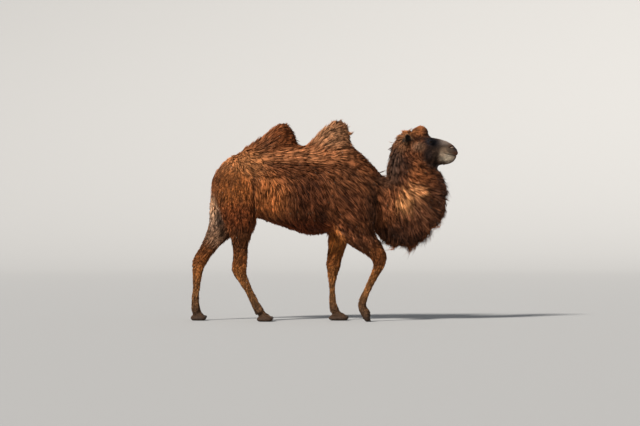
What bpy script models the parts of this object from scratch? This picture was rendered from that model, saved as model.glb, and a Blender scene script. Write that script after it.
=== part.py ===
"""A two-humped (Bactrian) camel in its winter coat, walking, modelled life size as a museum would show it.

The whole animal is one smooth form, made from lofted sections and rounded lumps, and thin cuts then
divide it into its named parts. Metres, +Z up, the camel faces +X and its right side is at -Y.
The solids are the outer shape of the coat.
"""

import math

import bmesh
import bpy
from mathutils import Matrix, Vector

# Driving dimensions. The animal stands HUMP_HEIGHT over the coat of its front hump. The lengths
# below are drawn for DRAWN_HEIGHT, and the whole animal is scaled at the end.
HUMP_HEIGHT = 2.17
DRAWN_HEIGHT = 2.02
GAP = 0.0004
VOXEL = 0.012
BODY_TRIANGLES = 5100
RING = 28
LEG_RING = 20

# How far each foot stands from the middle line, and where its heel and its toes are.
FORE_TRACK = 0.165
HIND_TRACK = 0.150

# Colours of the coat, linear RGB.
RUSSET = (0.185, 0.072, 0.030)
TAN = (0.330, 0.160, 0.070)
DARK_WOOL = (0.060, 0.026, 0.014)
GREY_FACE = (0.120, 0.090, 0.070)
HORN = (0.035, 0.028, 0.024)
EYE_BROWN = (0.020, 0.010, 0.006)

# Trunk sections: x, lowest z, z of the widest place, highest z, half width.
TRUNK = (
    (-1.125, 1.22, 1.34, 1.44, 0.085),
    (-1.06, 1.08, 1.33, 1.545, 0.205),
    (-0.92, 1.02, 1.33, 1.665, 0.275),
    (-0.74, 1.03, 1.33, 1.755, 0.315),
    (-0.54, 0.975, 1.29, 1.775, 0.365),
    (-0.33, 0.895, 1.25, 1.770, 0.395),
    (-0.13, 0.848, 1.24, 1.765, 0.395),
    (0.07, 0.880, 1.25, 1.765, 0.370),
    (0.26, 0.925, 1.27, 1.750, 0.330),
    (0.42, 0.950, 1.26, 1.635, 0.280),
    (0.55, 0.980, 1.22, 1.490, 0.215),
    (0.63, 1.060, 1.20, 1.380, 0.140),
)

# Hump sections: z, rearmost x, foremost x, half width.
REAR_HUMP = (
    (1.60, -0.92, -0.24, 0.225),
    (1.70, -0.86, -0.26, 0.195),
    (1.79, -0.735, -0.275, 0.155),
    (1.87, -0.615, -0.295, 0.120),
    (1.94, -0.525, -0.335, 0.080),
    (1.985, -0.465, -0.375, 0.040),
)
FRONT_HUMP = (
    (1.60, -0.24, 0.42, 0.225),
    (1.70, -0.20, 0.33, 0.200),
    (1.79, -0.165, 0.262, 0.165),
    (1.87, -0.095, 0.258, 0.130),
    (1.94, -0.015, 0.243, 0.095),
    (1.99, 0.040, 0.205, 0.060),
    (2.015, 0.095, 0.165, 0.028),
)

# Neck sections from the chest up: nape x and z, throat x and z (out to the beard), half width.
NECK = (
    (0.40, 1.52, 0.42, 0.96, 0.180),
    (0.56, 1.43, 0.59, 0.79, 0.150),
    (0.59, 1.420, 0.76, 0.735, 0.190),
    (0.605, 1.430, 0.94, 0.780, 0.175),
    (0.610, 1.455, 1.105, 0.920, 0.168),
    (0.605, 1.500, 1.205, 1.100, 0.162),
    (0.610, 1.570, 1.220, 1.280, 0.155),
    (0.625, 1.640, 1.190, 1.425, 0.145),
    (0.645, 1.715, 1.140, 1.520, 0.132),
    (0.675, 1.790, 1.080, 1.600, 0.118),
    (0.730, 1.850, 0.960, 1.680, 0.100),
)
NECK_WIDEST = 0.36

# Head sections: x, lowest z, z of the widest place, highest z, half width.
HEAD = (
    (0.70, 1.660, 1.750, 1.850, 0.070),
    (0.76, 1.600, 1.740, 1.875, 0.102),
    (0.86, 1.555, 1.725, 1.880, 0.118),
    (0.96, 1.540, 1.735, 1.870, 0.120),
    (1.045, 1.542, 1.755, 1.848, 0.108),
    (1.11, 1.552, 1.700, 1.828, 0.082),
    (1.17, 1.562, 1.680, 1.812, 0.068),
    (1.235, 1.590, 1.688, 1.792, 0.065),
    (1.290, 1.622, 1.690, 1.755, 0.058),
    (1.328, 1.650, 1.682, 1.712, 0.040),
)
# Lumps on the head: middle and half sizes.
HEAD_LUMPS = {
    "topknot": ((0.955, 0, 1.880), (0.088, 0.085, 0.078)),
    "crown": ((0.870, 0, 1.866), (0.105, 0.090, 0.056)),
    "brow": ((1.030, 0.070, 1.800), (0.052, 0.036, 0.034)),
    "cheek": ((1.020, 0.060, 1.630), (0.095, 0.048, 0.080)),
    "nostril": ((1.262, 0.034, 1.728), (0.042, 0.026, 0.036)),
}

# Lower lip and chin.
CHIN = (
    (1.12, 1.560, 1.610, 1.660, 0.050),
    (1.19, 1.566, 1.610, 1.655, 0.055),
    (1.255, 1.578, 1.616, 1.650, 0.050),
    (1.300, 1.600, 1.624, 1.645, 0.032),
)

# Each limb from the body down: x, z, y, half thickness along the walk, half thickness across.
HIND_RIGHT = (
    (-0.86, 1.42, -0.165, 0.200, 0.115),
    (-0.885, 1.22, -0.180, 0.202, 0.140),
    (-0.835, 1.04, -0.190, 0.184, 0.135),
    (-0.832, 0.91, -0.180, 0.140, 0.105),
    (-0.840, 0.78, -0.165, 0.094, 0.076),
    (-0.837, 0.65, -0.155, 0.082, 0.062),
    (-0.850, 0.520, -0.150, 0.084, 0.060),
    (-0.812, 0.425, -0.150, 0.060, 0.050),
    (-0.748, 0.300, -0.150, 0.046, 0.042),
    (-0.682, 0.165, -0.150, 0.048, 0.046),
    (-0.640, 0.085, -0.150, 0.052, 0.052),
)
HIND_LEFT = (
    (-0.87, 1.42, 0.165, 0.200, 0.115),
    (-0.955, 1.22, 0.180, 0.202, 0.140),
    (-0.995, 1.04, 0.190, 0.180, 0.135),
    (-1.055, 0.91, 0.180, 0.140, 0.105),
    (-1.135, 0.79, 0.165, 0.096, 0.076),
    (-1.205, 0.68, 0.155, 0.084, 0.062),
    (-1.265, 0.580, 0.150, 0.078, 0.060),
    (-1.278, 0.475, 0.150, 0.057, 0.050),
    (-1.292, 0.325, 0.150, 0.044, 0.042),
    (-1.302, 0.175, 0.150, 0.046, 0.046),
    (-1.290, 0.090, 0.150, 0.052, 0.052),
)
FORE_RIGHT = (
    (0.25, 1.42, -0.170, 0.170, 0.110),
    (0.27, 1.20, -0.205, 0.235, 0.118),
    (0.28, 1.02, -0.210, 0.240, 0.115),
    (0.35, 0.88, -0.203, 0.180, 0.100),
    (0.430, 0.78, -0.188, 0.128, 0.082),
    (0.510, 0.695, -0.170, 0.098, 0.070),
    (0.546, 0.625, -0.165, 0.084, 0.066),
    (0.524, 0.520, -0.165, 0.056, 0.052),
    (0.446, 0.360, -0.165, 0.042, 0.042),
    (0.380, 0.215, -0.165, 0.046, 0.048),
    (0.368, 0.150, -0.165, 0.046, 0.055),
)
FORE_LEFT = (
    (0.22, 1.42, 0.170, 0.160, 0.110),
    (0.19, 1.20, 0.195, 0.190, 0.118),
    (0.15, 1.02, 0.195, 0.165, 0.110),
    (0.135, 0.87, 0.185, 0.118, 0.092),
    (0.122, 0.73, 0.175, 0.098, 0.076),
    (0.098, 0.62, 0.168, 0.084, 0.066),
    (0.088, 0.530, 0.165, 0.078, 0.064),
    (0.080, 0.440, 0.165, 0.052, 0.050),
    (0.078, 0.320, 0.165, 0.037, 0.040),
    (0.082, 0.180, 0.165, 0.041, 0.046),
    (0.105, 0.095, 0.165, 0.052, 0.056),
)

# Feet: heel x, heel z, length, half width, how far the toes point down in degrees.
FEET = {
    "hind_right": (-0.680, 0.0, 0.170, 0.078, 0.0),
    "hind_left": (-1.355, 0.0, 0.170, 0.078, 0.0),
    "fore_right": (0.322, 0.157, 0.195, 0.088, 62.0),
    "fore_left": (0.035, 0.0, 0.210, 0.092, 0.0),
}

# The tail: x, z, half thickness along the walk, half thickness across.
TAIL = (
    (-1.045, 1.490, 0.030, 0.034),
    (-1.100, 1.420, 0.032, 0.036),
    (-1.122, 1.310, 0.026, 0.032),
    (-1.125, 1.190, 0.024, 0.030),
    (-1.120, 1.080, 0.032, 0.040),
    (-1.108, 0.990, 0.026, 0.032),
    (-1.098, 0.930, 0.006, 0.008),
)

EYE = (1.052, 0.088, 1.782)
EYE_RADIUS = 0.023
EYE_SEGMENTS = 12

# Ears: root and tip, the way the hollow faces, then sections: share of length, half width,
# half thickness. The cup is how deep the hollow is at EAR_WIDTH from the middle.
EAR_ROOT = (0.838, 0.085, 1.755)
EAR_TIP = (0.808, 0.165, 1.862)
EAR_OPENS = (0.42, 0.90, 0.05)
EAR = (
    (0.00, 0.024, 0.010),
    (0.20, 0.038, 0.010),
    (0.45, 0.047, 0.010),
    (0.70, 0.042, 0.009),
    (0.90, 0.026, 0.007),
    (1.00, 0.009, 0.004),
)
EAR_WIDTH = 0.047
EAR_CUP = 0.020
EAR_RING = 14

# The two toes stand TOE_SPREAD of the half width from the foot's middle line. Their half length is
# a share of the foot's length and their half width a share of the foot's half width.
TOE_SPREAD = 0.43
TOE_LENGTH = 0.34
TOE_WIDTH = 0.56
TOE_HEIGHT = 0.026
TOE_THICKNESS = 0.036

# The pad under the foot and the instep over it: how far along the foot their middle is, half
# length and half width as shares of the foot's own, height of the middle and half thickness.
PAD = (0.45, 0.45, 1.00, 0.024, 0.034)
INSTEP = (0.50, 0.34, 0.62, 0.048, 0.042)

# Nails: how far along the foot, how high, and half sizes.
NAIL_AHEAD = 0.93
NAIL_HEIGHT = 0.044
NAIL_SIZE = (0.016, 0.017, 0.014)
NAIL_SEGMENTS = 8

FLOOR_DEPTH = 0.5

# The regions that part the animal: centre, full size and pitch of a block, in cutting order.
REGIONS = {
    "head": ((1.06, 0, 1.86), (0.90, 0.60, 0.62), 24),
    "neck": ((1.098, 0, 1.42), (1.00, 0.80, 1.38), -3.4),
    "hump_rear": ((-0.60, 0, 1.99), (0.78, 0.80, 0.48), 0),
    "hump_front": ((0.10, 0, 1.99), (0.62, 0.80, 0.48), 0),
    "foot_hind_right": ((-0.62, -0.20, 0.0), (0.40, 0.30, 0.22), 0),
    "foot_hind_left": ((-1.30, 0.20, 0.0), (0.40, 0.30, 0.22), 0),
    "foot_fore_right": ((0.40, -0.20, 0.0), (0.40, 0.30, 0.36), 0),
    "foot_fore_left": ((0.13, 0.20, 0.0), (0.40, 0.30, 0.22), 0),
    "shank_hind_right": ((-0.75, -0.20, 0.25), (0.60, 0.36, 0.50), 0),
    "shank_hind_left": ((-1.30, 0.20, 0.27), (0.60, 0.36, 0.56), 0),
    "shank_fore_right": ((0.45, -0.20, 0.365), (0.60, 0.36, 0.69), 0),
    "shank_fore_left": ((0.12, 0.20, 0.26), (0.60, 0.36, 0.52), 0),
    "leg_hind_right": ((-0.84, -0.22, 0.70), (0.70, 0.40, 0.48), 0),
    "leg_hind_left": ((-1.10, 0.22, 0.70), (0.70, 0.40, 0.48), 0),
    "leg_fore_right": ((0.322, -0.245, 0.755), (0.590, 0.30, 0.185), 0),
    "leg_fore_left": ((0.14, 0.24, 0.672), (0.36, 0.30, 0.345), 0),
}


def clear_scene():
    for obj in list(bpy.data.objects):
        bpy.data.objects.remove(obj)


def collection(name):
    found = bpy.data.collections.new(name)
    bpy.context.scene.collection.children.link(found)
    return found


def material(name, colour, roughness):
    made = bpy.data.materials.new(name)
    made.use_nodes = True
    shader = made.node_tree.nodes["Principled BSDF"]
    shader.inputs["Base Color"].default_value = (*colour, 1.0)
    shader.inputs["Roughness"].default_value = roughness
    return made


def between(stations, spans):
    """The stations with smooth ones between them, by a Catmull-Rom curve through every number."""
    rows = [Vector(row) for row in stations]
    found = []
    for i in range(len(rows) - 1):
        before = rows[max(i - 1, 0)]
        after = rows[min(i + 2, len(rows) - 1)]
        start, end = rows[i], rows[i + 1]
        for step in range(spans):
            t = step / spans
            slope_in = (end - before) * 0.5
            slope_out = (after - start) * 0.5
            h01 = t * t * (3 - 2 * t)
            h10 = t * (1 - t) ** 2
            h11 = t * t * (t - 1)
            found.append(start * (1 - h01) + end * h01 + slope_in * h10 + slope_out * h11)
    return found + [rows[-1]]


def ring(centre, up, above, below, half_width, count):
    """An egg-shaped section: half_width each way along Y, above and below along up."""
    points = []
    for k in range(count):
        angle = math.tau * k / count
        rise = math.sin(angle)
        reach = above if rise > 0 else below
        points.append(centre + up * (reach * rise) + Vector((0, half_width * math.cos(angle), 0)))
    return points


def loft(form, rings):
    """Adds a closed tube through the rings to the form."""
    loops = [[form.verts.new(point) for point in points] for points in rings]
    count = len(loops[0])
    faces = [form.faces.new(loops[0]), form.faces.new(loops[-1])]
    for lower, upper in zip(loops, loops[1:]):
        for k in range(count):
            nxt = (k + 1) % count
            faces.append(form.faces.new((lower[k], lower[nxt], upper[nxt], upper[k])))
    bmesh.ops.recalc_face_normals(form, faces=faces)


def lump(form, centre, radii, segments=24):
    """Adds an ellipsoid to the form."""
    made = bmesh.ops.create_uvsphere(form, u_segments=segments, v_segments=segments // 2, radius=1.0)
    bmesh.ops.scale(form, vec=Vector(radii), verts=made["verts"])
    bmesh.ops.translate(form, vec=Vector(centre), verts=made["verts"])
    return made["verts"]


def upright_rings(stations, spans=3):
    up = Vector((0, 0, 1))
    for x, low, wide, high, half_width in between(stations, spans):
        yield ring(Vector((x, 0, wide)), up, high - wide, wide - low, half_width, RING)


def level_rings(stations, spans=3):
    along = Vector((1, 0, 0))
    for z, rear, front, half_width in between(stations, spans):
        reach = (front - rear) / 2
        yield ring(Vector(((front + rear) / 2, 0, z)), along, reach, reach, half_width, RING)


def neck_rings(stations, spans=3):
    for nape_x, nape_z, throat_x, throat_z, half_width in between(stations, spans):
        nape, throat = Vector((nape_x, 0, nape_z)), Vector((throat_x, 0, throat_z))
        centre = nape.lerp(throat, NECK_WIDEST)
        up = (nape - throat).normalized()
        yield ring(centre, up, (nape - centre).length, (centre - throat).length, half_width, RING)


def limb_rings(stations, spans=3, count=LEG_RING):
    """Sections square to a limb's own line. Each station is x, z, y, half thickness, half width."""
    rows = between(stations, spans)
    for i, (x, z, y, depth, half_width) in enumerate(rows):
        before, after = rows[max(i - 1, 0)], rows[min(i + 1, len(rows) - 1)]
        along = Vector((after[0] - before[0], 0, after[1] - before[1])).normalized()
        across = Vector((-along.z, 0, along.x))
        yield ring(Vector((x, y, z)), across, depth, depth, half_width, count)


def foot_frame(limb):
    """The foot's heel, the way its toes point and the way its top faces."""
    heel_x, heel_z, length, half_width, pitch = FEET[limb]
    side = -1 if limb.endswith("right") else 1
    track = FORE_TRACK if limb.startswith("fore") else HIND_TRACK
    angle = math.radians(pitch)
    ahead = Vector((math.cos(angle), 0, -math.sin(angle)))
    upward = Vector((math.sin(angle), 0, math.cos(angle)))
    return Vector((heel_x, side * track, heel_z)), ahead, upward, length, half_width


def turned(verts, origin, ahead, upward):
    """Moves verts from a frame with +X ahead and +Z up at the origin to the one given."""
    across = Vector((0, 1, 0))
    for vert in verts:
        place = vert.co.copy()
        vert.co = origin + ahead * place.x + across * place.y + upward * place.z


def foot(form, limb):
    """Adds the two broad toes, the pad behind them and the pastern over it."""
    heel, ahead, upward, length, half_width = foot_frame(limb)
    toe_reach = length * TOE_LENGTH
    for side in (-1, 1):
        centre = (length - toe_reach, side * half_width * TOE_SPREAD, TOE_HEIGHT)
        toe = lump(form, centre, (toe_reach, half_width * TOE_WIDTH, TOE_THICKNESS))
        turned(toe, heel, ahead, upward)
    for along, reach, width, height, thickness in (PAD, INSTEP):
        radii = (length * reach, half_width * width, thickness)
        turned(lump(form, (length * along, 0, height), radii), heel, ahead, upward)


def head_lumps(form):
    """Adds the lumps of the head, a pair of each that is off the middle plane."""
    for (x, y, z), radii in HEAD_LUMPS.values():
        for side in (-1, 1) if y else (1,):
            lump(form, (x, side * y, z), radii)


def body_form():
    """The whole animal as overlapping closed shapes in one mesh."""
    form = bmesh.new()
    loft(form, list(upright_rings(TRUNK)))
    loft(form, list(level_rings(REAR_HUMP)))
    loft(form, list(level_rings(FRONT_HUMP)))
    loft(form, list(neck_rings(NECK)))
    loft(form, list(upright_rings(HEAD)))
    loft(form, list(upright_rings(CHIN)))
    head_lumps(form)
    for limb, stations in LIMBS.items():
        loft(form, list(limb_rings(stations)))
        foot(form, limb)
    return form


SIDES = {"left": 1, "right": -1}

LIMBS = {
    "hind_right": HIND_RIGHT,
    "hind_left": HIND_LEFT,
    "fore_right": FORE_RIGHT,
    "fore_left": FORE_LEFT,
}


def mesh_object(name, form, where):
    mesh = bpy.data.meshes.new(name)
    form.to_mesh(mesh)
    form.free()
    obj = bpy.data.objects.new(name, mesh)
    where.objects.link(obj)
    return obj


def baked(obj):
    """Replaces the object's mesh by the one its modifiers make."""
    bpy.context.view_layer.update()
    graph = bpy.context.evaluated_depsgraph_get()
    mesh = bpy.data.meshes.new_from_object(obj.evaluated_get(graph))
    obj.modifiers.clear()
    obj.data = mesh
    return obj


def fineness(place):
    """How much of the detail a place keeps: 1 on the head and the feet, 0 on the trunk."""
    head = (place.x - 0.80) / 0.20 if place.z > 1.50 else 0.0
    foot_share = (0.22 - place.z) / 0.10
    leg_share = 0.30 if place.z < 0.90 else 0.0
    hump_share = (place.z - 1.66) / 0.20 if place.x < 0.55 else 0.0
    return min(1.0, max(0.0, head, foot_share, leg_share, min(hump_share, 0.35)))


def weighted(obj, name, most, drop):
    """A vertex group that is most on the trunk and falls by drop towards the head and the feet."""
    group = obj.vertex_groups.new(name=name)
    for vert in obj.data.vertices:
        group.add([vert.index], most - drop * fineness(vert.co), "REPLACE")
    return name


def whole_animal(where):
    obj = mesh_object("whole", body_form(), where)
    remesh = obj.modifiers.new("join", "REMESH")
    remesh.mode = "VOXEL"
    remesh.voxel_size = VOXEL
    baked(obj)
    soften = obj.modifiers.new("soften", "SMOOTH")
    soften.factor = 0.5
    soften.iterations = 12
    soften.vertex_group = weighted(obj, "blend", 1.0, 0.75)
    baked(obj)
    thin = obj.modifiers.new("thin", "DECIMATE")
    thin.ratio = BODY_TRIANGLES / (2 * len(obj.data.polygons))
    thin.vertex_group = weighted(obj, "coarse", 1.0, 0.45)
    thin.vertex_group_factor = 1.0
    baked(obj)
    obj.vertex_groups.clear()
    return obj


def box(name, centre, size, pitch, where):
    """A block turned about Y by pitch degrees, its centre and full size given."""
    form = bmesh.new()
    made = bmesh.ops.create_cube(form, size=1.0)
    bmesh.ops.scale(form, vec=Vector(size), verts=made["verts"])
    turn = Matrix.Rotation(math.radians(pitch), 3, "Y")
    bmesh.ops.rotate(form, cent=(0, 0, 0), matrix=turn, verts=made["verts"])
    bmesh.ops.translate(form, vec=Vector(centre), verts=made["verts"])
    return mesh_object(name, form, where)


def combine(target, other, operation):
    """Bakes one exact Boolean into the target."""
    step = target.modifiers.new("cut", "BOOLEAN")
    step.operation = operation
    step.solver = "EXACT"
    step.object = other
    return baked(target)


def part_with_cuts(whole, where, helpers):
    """Divides the whole into its named regions. What no region takes is the trunk."""
    rest = whole
    parts = {}
    for name, (centre, size, pitch) in REGIONS.items():
        piece = bpy.data.objects.new(name, rest.data.copy())
        where.objects.link(piece)
        region = box(name + "_region", centre, size, pitch, helpers)
        grown = box(name + "_grown", centre, [side + 2 * GAP for side in size], pitch, helpers)
        parts[name] = combine(piece, region, "INTERSECT")
        combine(rest, grown, "DIFFERENCE")
    rest.name = "trunk"
    helpers.objects.unlink(rest)
    where.objects.link(rest)
    parts["trunk"] = rest
    return parts


def eye_form(side):
    form = bmesh.new()
    lump(form, (EYE[0], side * EYE[1], EYE[2]), [EYE_RADIUS] * 3, EYE_SEGMENTS)
    return form


def ear_form(side):
    """A cupped leaf: sections from the root to the tip, bowed so that the front is hollow."""
    root = Vector((EAR_ROOT[0], side * EAR_ROOT[1], EAR_ROOT[2]))
    tip = Vector((EAR_TIP[0], side * EAR_TIP[1], EAR_TIP[2]))
    opening = Vector((EAR_OPENS[0], side * EAR_OPENS[1], EAR_OPENS[2]))
    along = (tip - root).normalized()
    opening = (opening - along * opening.dot(along)).normalized()
    across = along.cross(opening)
    rings = []
    for share, half_width, thickness in EAR:
        centre = root.lerp(tip, share)
        points = []
        for k in range(EAR_RING):
            angle = math.tau * k / EAR_RING
            spread = math.cos(angle) * half_width
            bow = EAR_CUP * (spread / EAR_WIDTH) ** 2
            rise = math.sin(angle) * thickness + bow
            points.append(centre + across * spread + opening * rise)
        rings.append(points)
    form = bmesh.new()
    loft(form, rings)
    return form


def tail_form():
    form = bmesh.new()
    rows = [(x, z, 0.0, depth, width) for x, z, depth, width in TAIL]
    loft(form, list(limb_rings(rows, spans=2, count=10)))
    return form


def nail_form(limb, side):
    """A blunt horny nail on the front of one toe."""
    heel, ahead, upward, length, half_width = foot_frame(limb)
    form = bmesh.new()
    centre = (length * NAIL_AHEAD, side * half_width * TOE_SPREAD, NAIL_HEIGHT)
    nail = lump(form, centre, NAIL_SIZE, NAIL_SEGMENTS)
    turned(nail, heel, ahead, upward)
    return form


def grown(form, extra):
    """Moves every face of the form outwards by extra."""
    form.normal_update()
    moves = [vert.normal * (extra * vert.calc_shell_factor()) for vert in form.verts]
    for vert, move in zip(form.verts, moves):
        vert.co += move
    return form


def fitted(name, host, form, where, helpers):
    """Adds a part that sits in its host with a hair-thin gap all round."""
    bmesh.ops.triangulate(form, faces=list(form.faces))
    seat = mesh_object(name + "_seat", grown(form.copy(), GAP), helpers)
    combine(host, seat, "DIFFERENCE")
    return mesh_object(name, form, where)


def add_fitted_parts(parts, where, helpers):
    for word, side in SIDES.items():
        for kind, form in (("eye_", eye_form(side)), ("ear_", ear_form(side))):
            parts[kind + word] = fitted(kind + word, parts["head"], form, where, helpers)
        for limb in FEET:
            name = "nail_" + limb + "_" + word
            host = parts["foot_" + limb]
            parts[name] = fitted(name, host, nail_form(limb, side), where, helpers)
    parts["tail"] = fitted("tail", parts["trunk"], tail_form(), where, helpers)


def settle(parts):
    """Scales the animal to life size and puts the middle of its footprint at the origin."""
    places = [vert.co for obj in parts.values() for vert in obj.data.vertices]
    middle_x = (min(p.x for p in places) + max(p.x for p in places)) / 2
    middle_y = (min(p.y for p in places) + max(p.y for p in places)) / 2
    grow = Matrix.Scale(HUMP_HEIGHT / DRAWN_HEIGHT, 4)
    shift = Matrix.Translation((-middle_x, -middle_y, 0))
    for obj in parts.values():
        obj.data.transform(grow @ shift)


def paint(parts):
    """Gives every part a material of its own."""
    for name, obj in parts.items():
        colour, roughness = RUSSET, 0.9
        if name.startswith("eye"):
            colour, roughness = EYE_BROWN, 0.08
        elif name.startswith("nail"):
            colour, roughness = HORN, 0.5
        elif name.startswith(("ear", "head")):
            colour = TAN
        elif name.startswith("foot"):
            colour = GREY_FACE
        elif name == "tail":
            colour = DARK_WOOL
        obj.data.materials.clear()
        obj.data.materials.append(material("mat_" + name, colour, roughness))


def build():
    clear_scene()
    camel = collection("bactrian_camel")
    helpers = collection("helpers")
    whole = whole_animal(helpers)
    floor = box("floor", (0, 0, -FLOOR_DEPTH / 2), (6, 2, FLOOR_DEPTH), 0, helpers)
    combine(whole, floor, "DIFFERENCE")
    parts = part_with_cuts(whole, camel, helpers)
    add_fitted_parts(parts, camel, helpers)
    for obj in list(helpers.objects):
        bpy.data.objects.remove(obj)
    settle(parts)
    paint(parts)


build()
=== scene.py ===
"""A Bactrian camel in its winter coat: skin, eyes, nails, a coat of solid locks, and a plain studio."""

import math
from functools import partial

import bmesh
import bpy
import numpy as np
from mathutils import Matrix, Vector, kdtree
from mathutils.bvhtree import BVHTree


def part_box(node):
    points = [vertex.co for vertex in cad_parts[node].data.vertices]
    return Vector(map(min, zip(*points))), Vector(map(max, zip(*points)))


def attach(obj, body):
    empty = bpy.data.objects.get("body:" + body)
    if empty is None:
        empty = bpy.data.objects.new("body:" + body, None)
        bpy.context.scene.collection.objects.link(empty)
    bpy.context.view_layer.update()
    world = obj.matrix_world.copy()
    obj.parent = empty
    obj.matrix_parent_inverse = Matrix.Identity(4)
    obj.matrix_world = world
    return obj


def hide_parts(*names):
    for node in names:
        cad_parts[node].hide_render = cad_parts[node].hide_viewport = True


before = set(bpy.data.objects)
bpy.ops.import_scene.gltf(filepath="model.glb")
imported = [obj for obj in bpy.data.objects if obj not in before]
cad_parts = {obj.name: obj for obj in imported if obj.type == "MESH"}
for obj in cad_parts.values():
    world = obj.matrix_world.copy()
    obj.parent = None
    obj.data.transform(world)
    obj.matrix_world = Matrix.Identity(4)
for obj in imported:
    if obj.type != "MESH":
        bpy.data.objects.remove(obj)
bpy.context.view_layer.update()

bl_info = {
    "name": "Bactrian camel",
    "version": (1, 0, 0),
    "blender": (4, 5, 0),
    "location": "3D View > Sidebar > Camel",
    "description": "Builds the skin, eyes, nails and winter coat of a walking Bactrian camel",
    "category": "Object",
}

FLESH = [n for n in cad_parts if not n.startswith(("eye", "nail", "ear"))]
EARS = ("ear_left", "ear_right")
EYES = ("eye_left", "eye_right")
NAILS = [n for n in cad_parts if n.startswith("nail")]


def middle(node):
    low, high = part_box(node)
    return (Vector(low) + Vector(high)) / 2


EYE_MIDDLE = middle("eye_left")
EAR_ROOT = np.array((0.9126, 0.0913, 1.885))
EAR_TIP = np.array((0.8804, 0.1773, 2.000))
EAR_WAY = (EAR_TIP - EAR_ROOT) / np.linalg.norm(EAR_TIP - EAR_ROOT)
EAR_LENGTH = float(np.linalg.norm(EAR_TIP - EAR_ROOT))
EAR_FACING = np.array((0.42, 0.90, 0.05))
EAR_FACING -= EAR_WAY * (EAR_FACING @ EAR_WAY)
EAR_OPENS = EAR_FACING / np.linalg.norm(EAR_FACING)
# Length, depth, curl, half width and stand of the fur on the ears.
EAR_COAT = (0.040, 0.003, 0.3, 0.0020, 0.35)
SEED = 20260


# Settings --------------------

LENGTH = {"unit": "LENGTH"}
SHARE = {"max": 1.0, "subtype": "FACTOR"}
COLOUR = {"subtype": "COLOR", "size": 3, "min": 0.0, "max": 1.0}
LOCKS = {"min": 100}


class CamelSkinSettings(bpy.types.PropertyGroup):
    voxel: bpy.props.FloatProperty(
        name="Skin voxel",
        description="Size of the cells that melt the flesh nodes into one skin",
        default=0.0075,
        min=0.006,
        **LENGTH,
    )
    thinning: bpy.props.FloatProperty(
        name="Hidden mesh kept",
        description="Share of the skin's mesh that is kept where long wool hides it",
        default=0.08,
        min=0.02,
        **SHARE,
    )
    smoothing: bpy.props.IntProperty(
        name="Smoothing", description="Passes that take the facets out of the skin", default=24, min=0
    )
    eye_radius: bpy.props.FloatProperty(
        name="Eyeball radius", description="Radius of each eyeball", default=0.0247, **LENGTH
    )
    lid: bpy.props.FloatProperty(
        name="Lid thickness", description="How far the lids stand off the eyeball", default=0.0034, **LENGTH
    )


class CamelCoatSettings(bpy.types.PropertyGroup):
    trunk_locks: bpy.props.IntProperty(
        name="Trunk locks", description="Locks on the trunk and humps", default=33500, **LOCKS
    )
    haunch_locks: bpy.props.IntProperty(
        name="Haunch locks", description="Short locks on both haunches", default=12500, **LOCKS
    )
    neck_locks: bpy.props.IntProperty(
        name="Neck locks", description="Locks on the neck, mane and beard", default=21500, **LOCKS
    )
    crown_locks: bpy.props.IntProperty(
        name="Crown locks", description="Locks on the crown, cheeks and jaw", default=6200, **LOCKS
    )
    face_locks: bpy.props.IntProperty(
        name="Face locks", description="Small locks on the face", default=17500, **LOCKS
    )
    ear_locks: bpy.props.IntProperty(
        name="Ear locks", description="Fine locks on the ears", default=2500, **LOCKS
    )
    leg_locks: bpy.props.IntProperty(
        name="Leg locks", description="Short locks on each pair of legs", default=12500, **LOCKS
    )
    clump: bpy.props.FloatProperty(
        name="Clumping",
        description="How far the tips of neighbouring locks are drawn together",
        default=0.62,
        min=0.0,
        **SHARE,
    )


class CamelColourSettings(bpy.types.PropertyGroup):
    horn: bpy.props.FloatVectorProperty(
        name="Nails", description="Colour of the horny nails", default=(0.022, 0.017, 0.014), **COLOUR
    )
    iris: bpy.props.FloatVectorProperty(
        name="Iris", description="Colour of the eyes", default=(0.022, 0.010, 0.005), **COLOUR
    )
    floor: bpy.props.FloatVectorProperty(
        name="Floor", description="Colour of the studio floor", default=(0.36, 0.36, 0.36), **COLOUR
    )


# Lie of the coat --------------------

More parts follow.
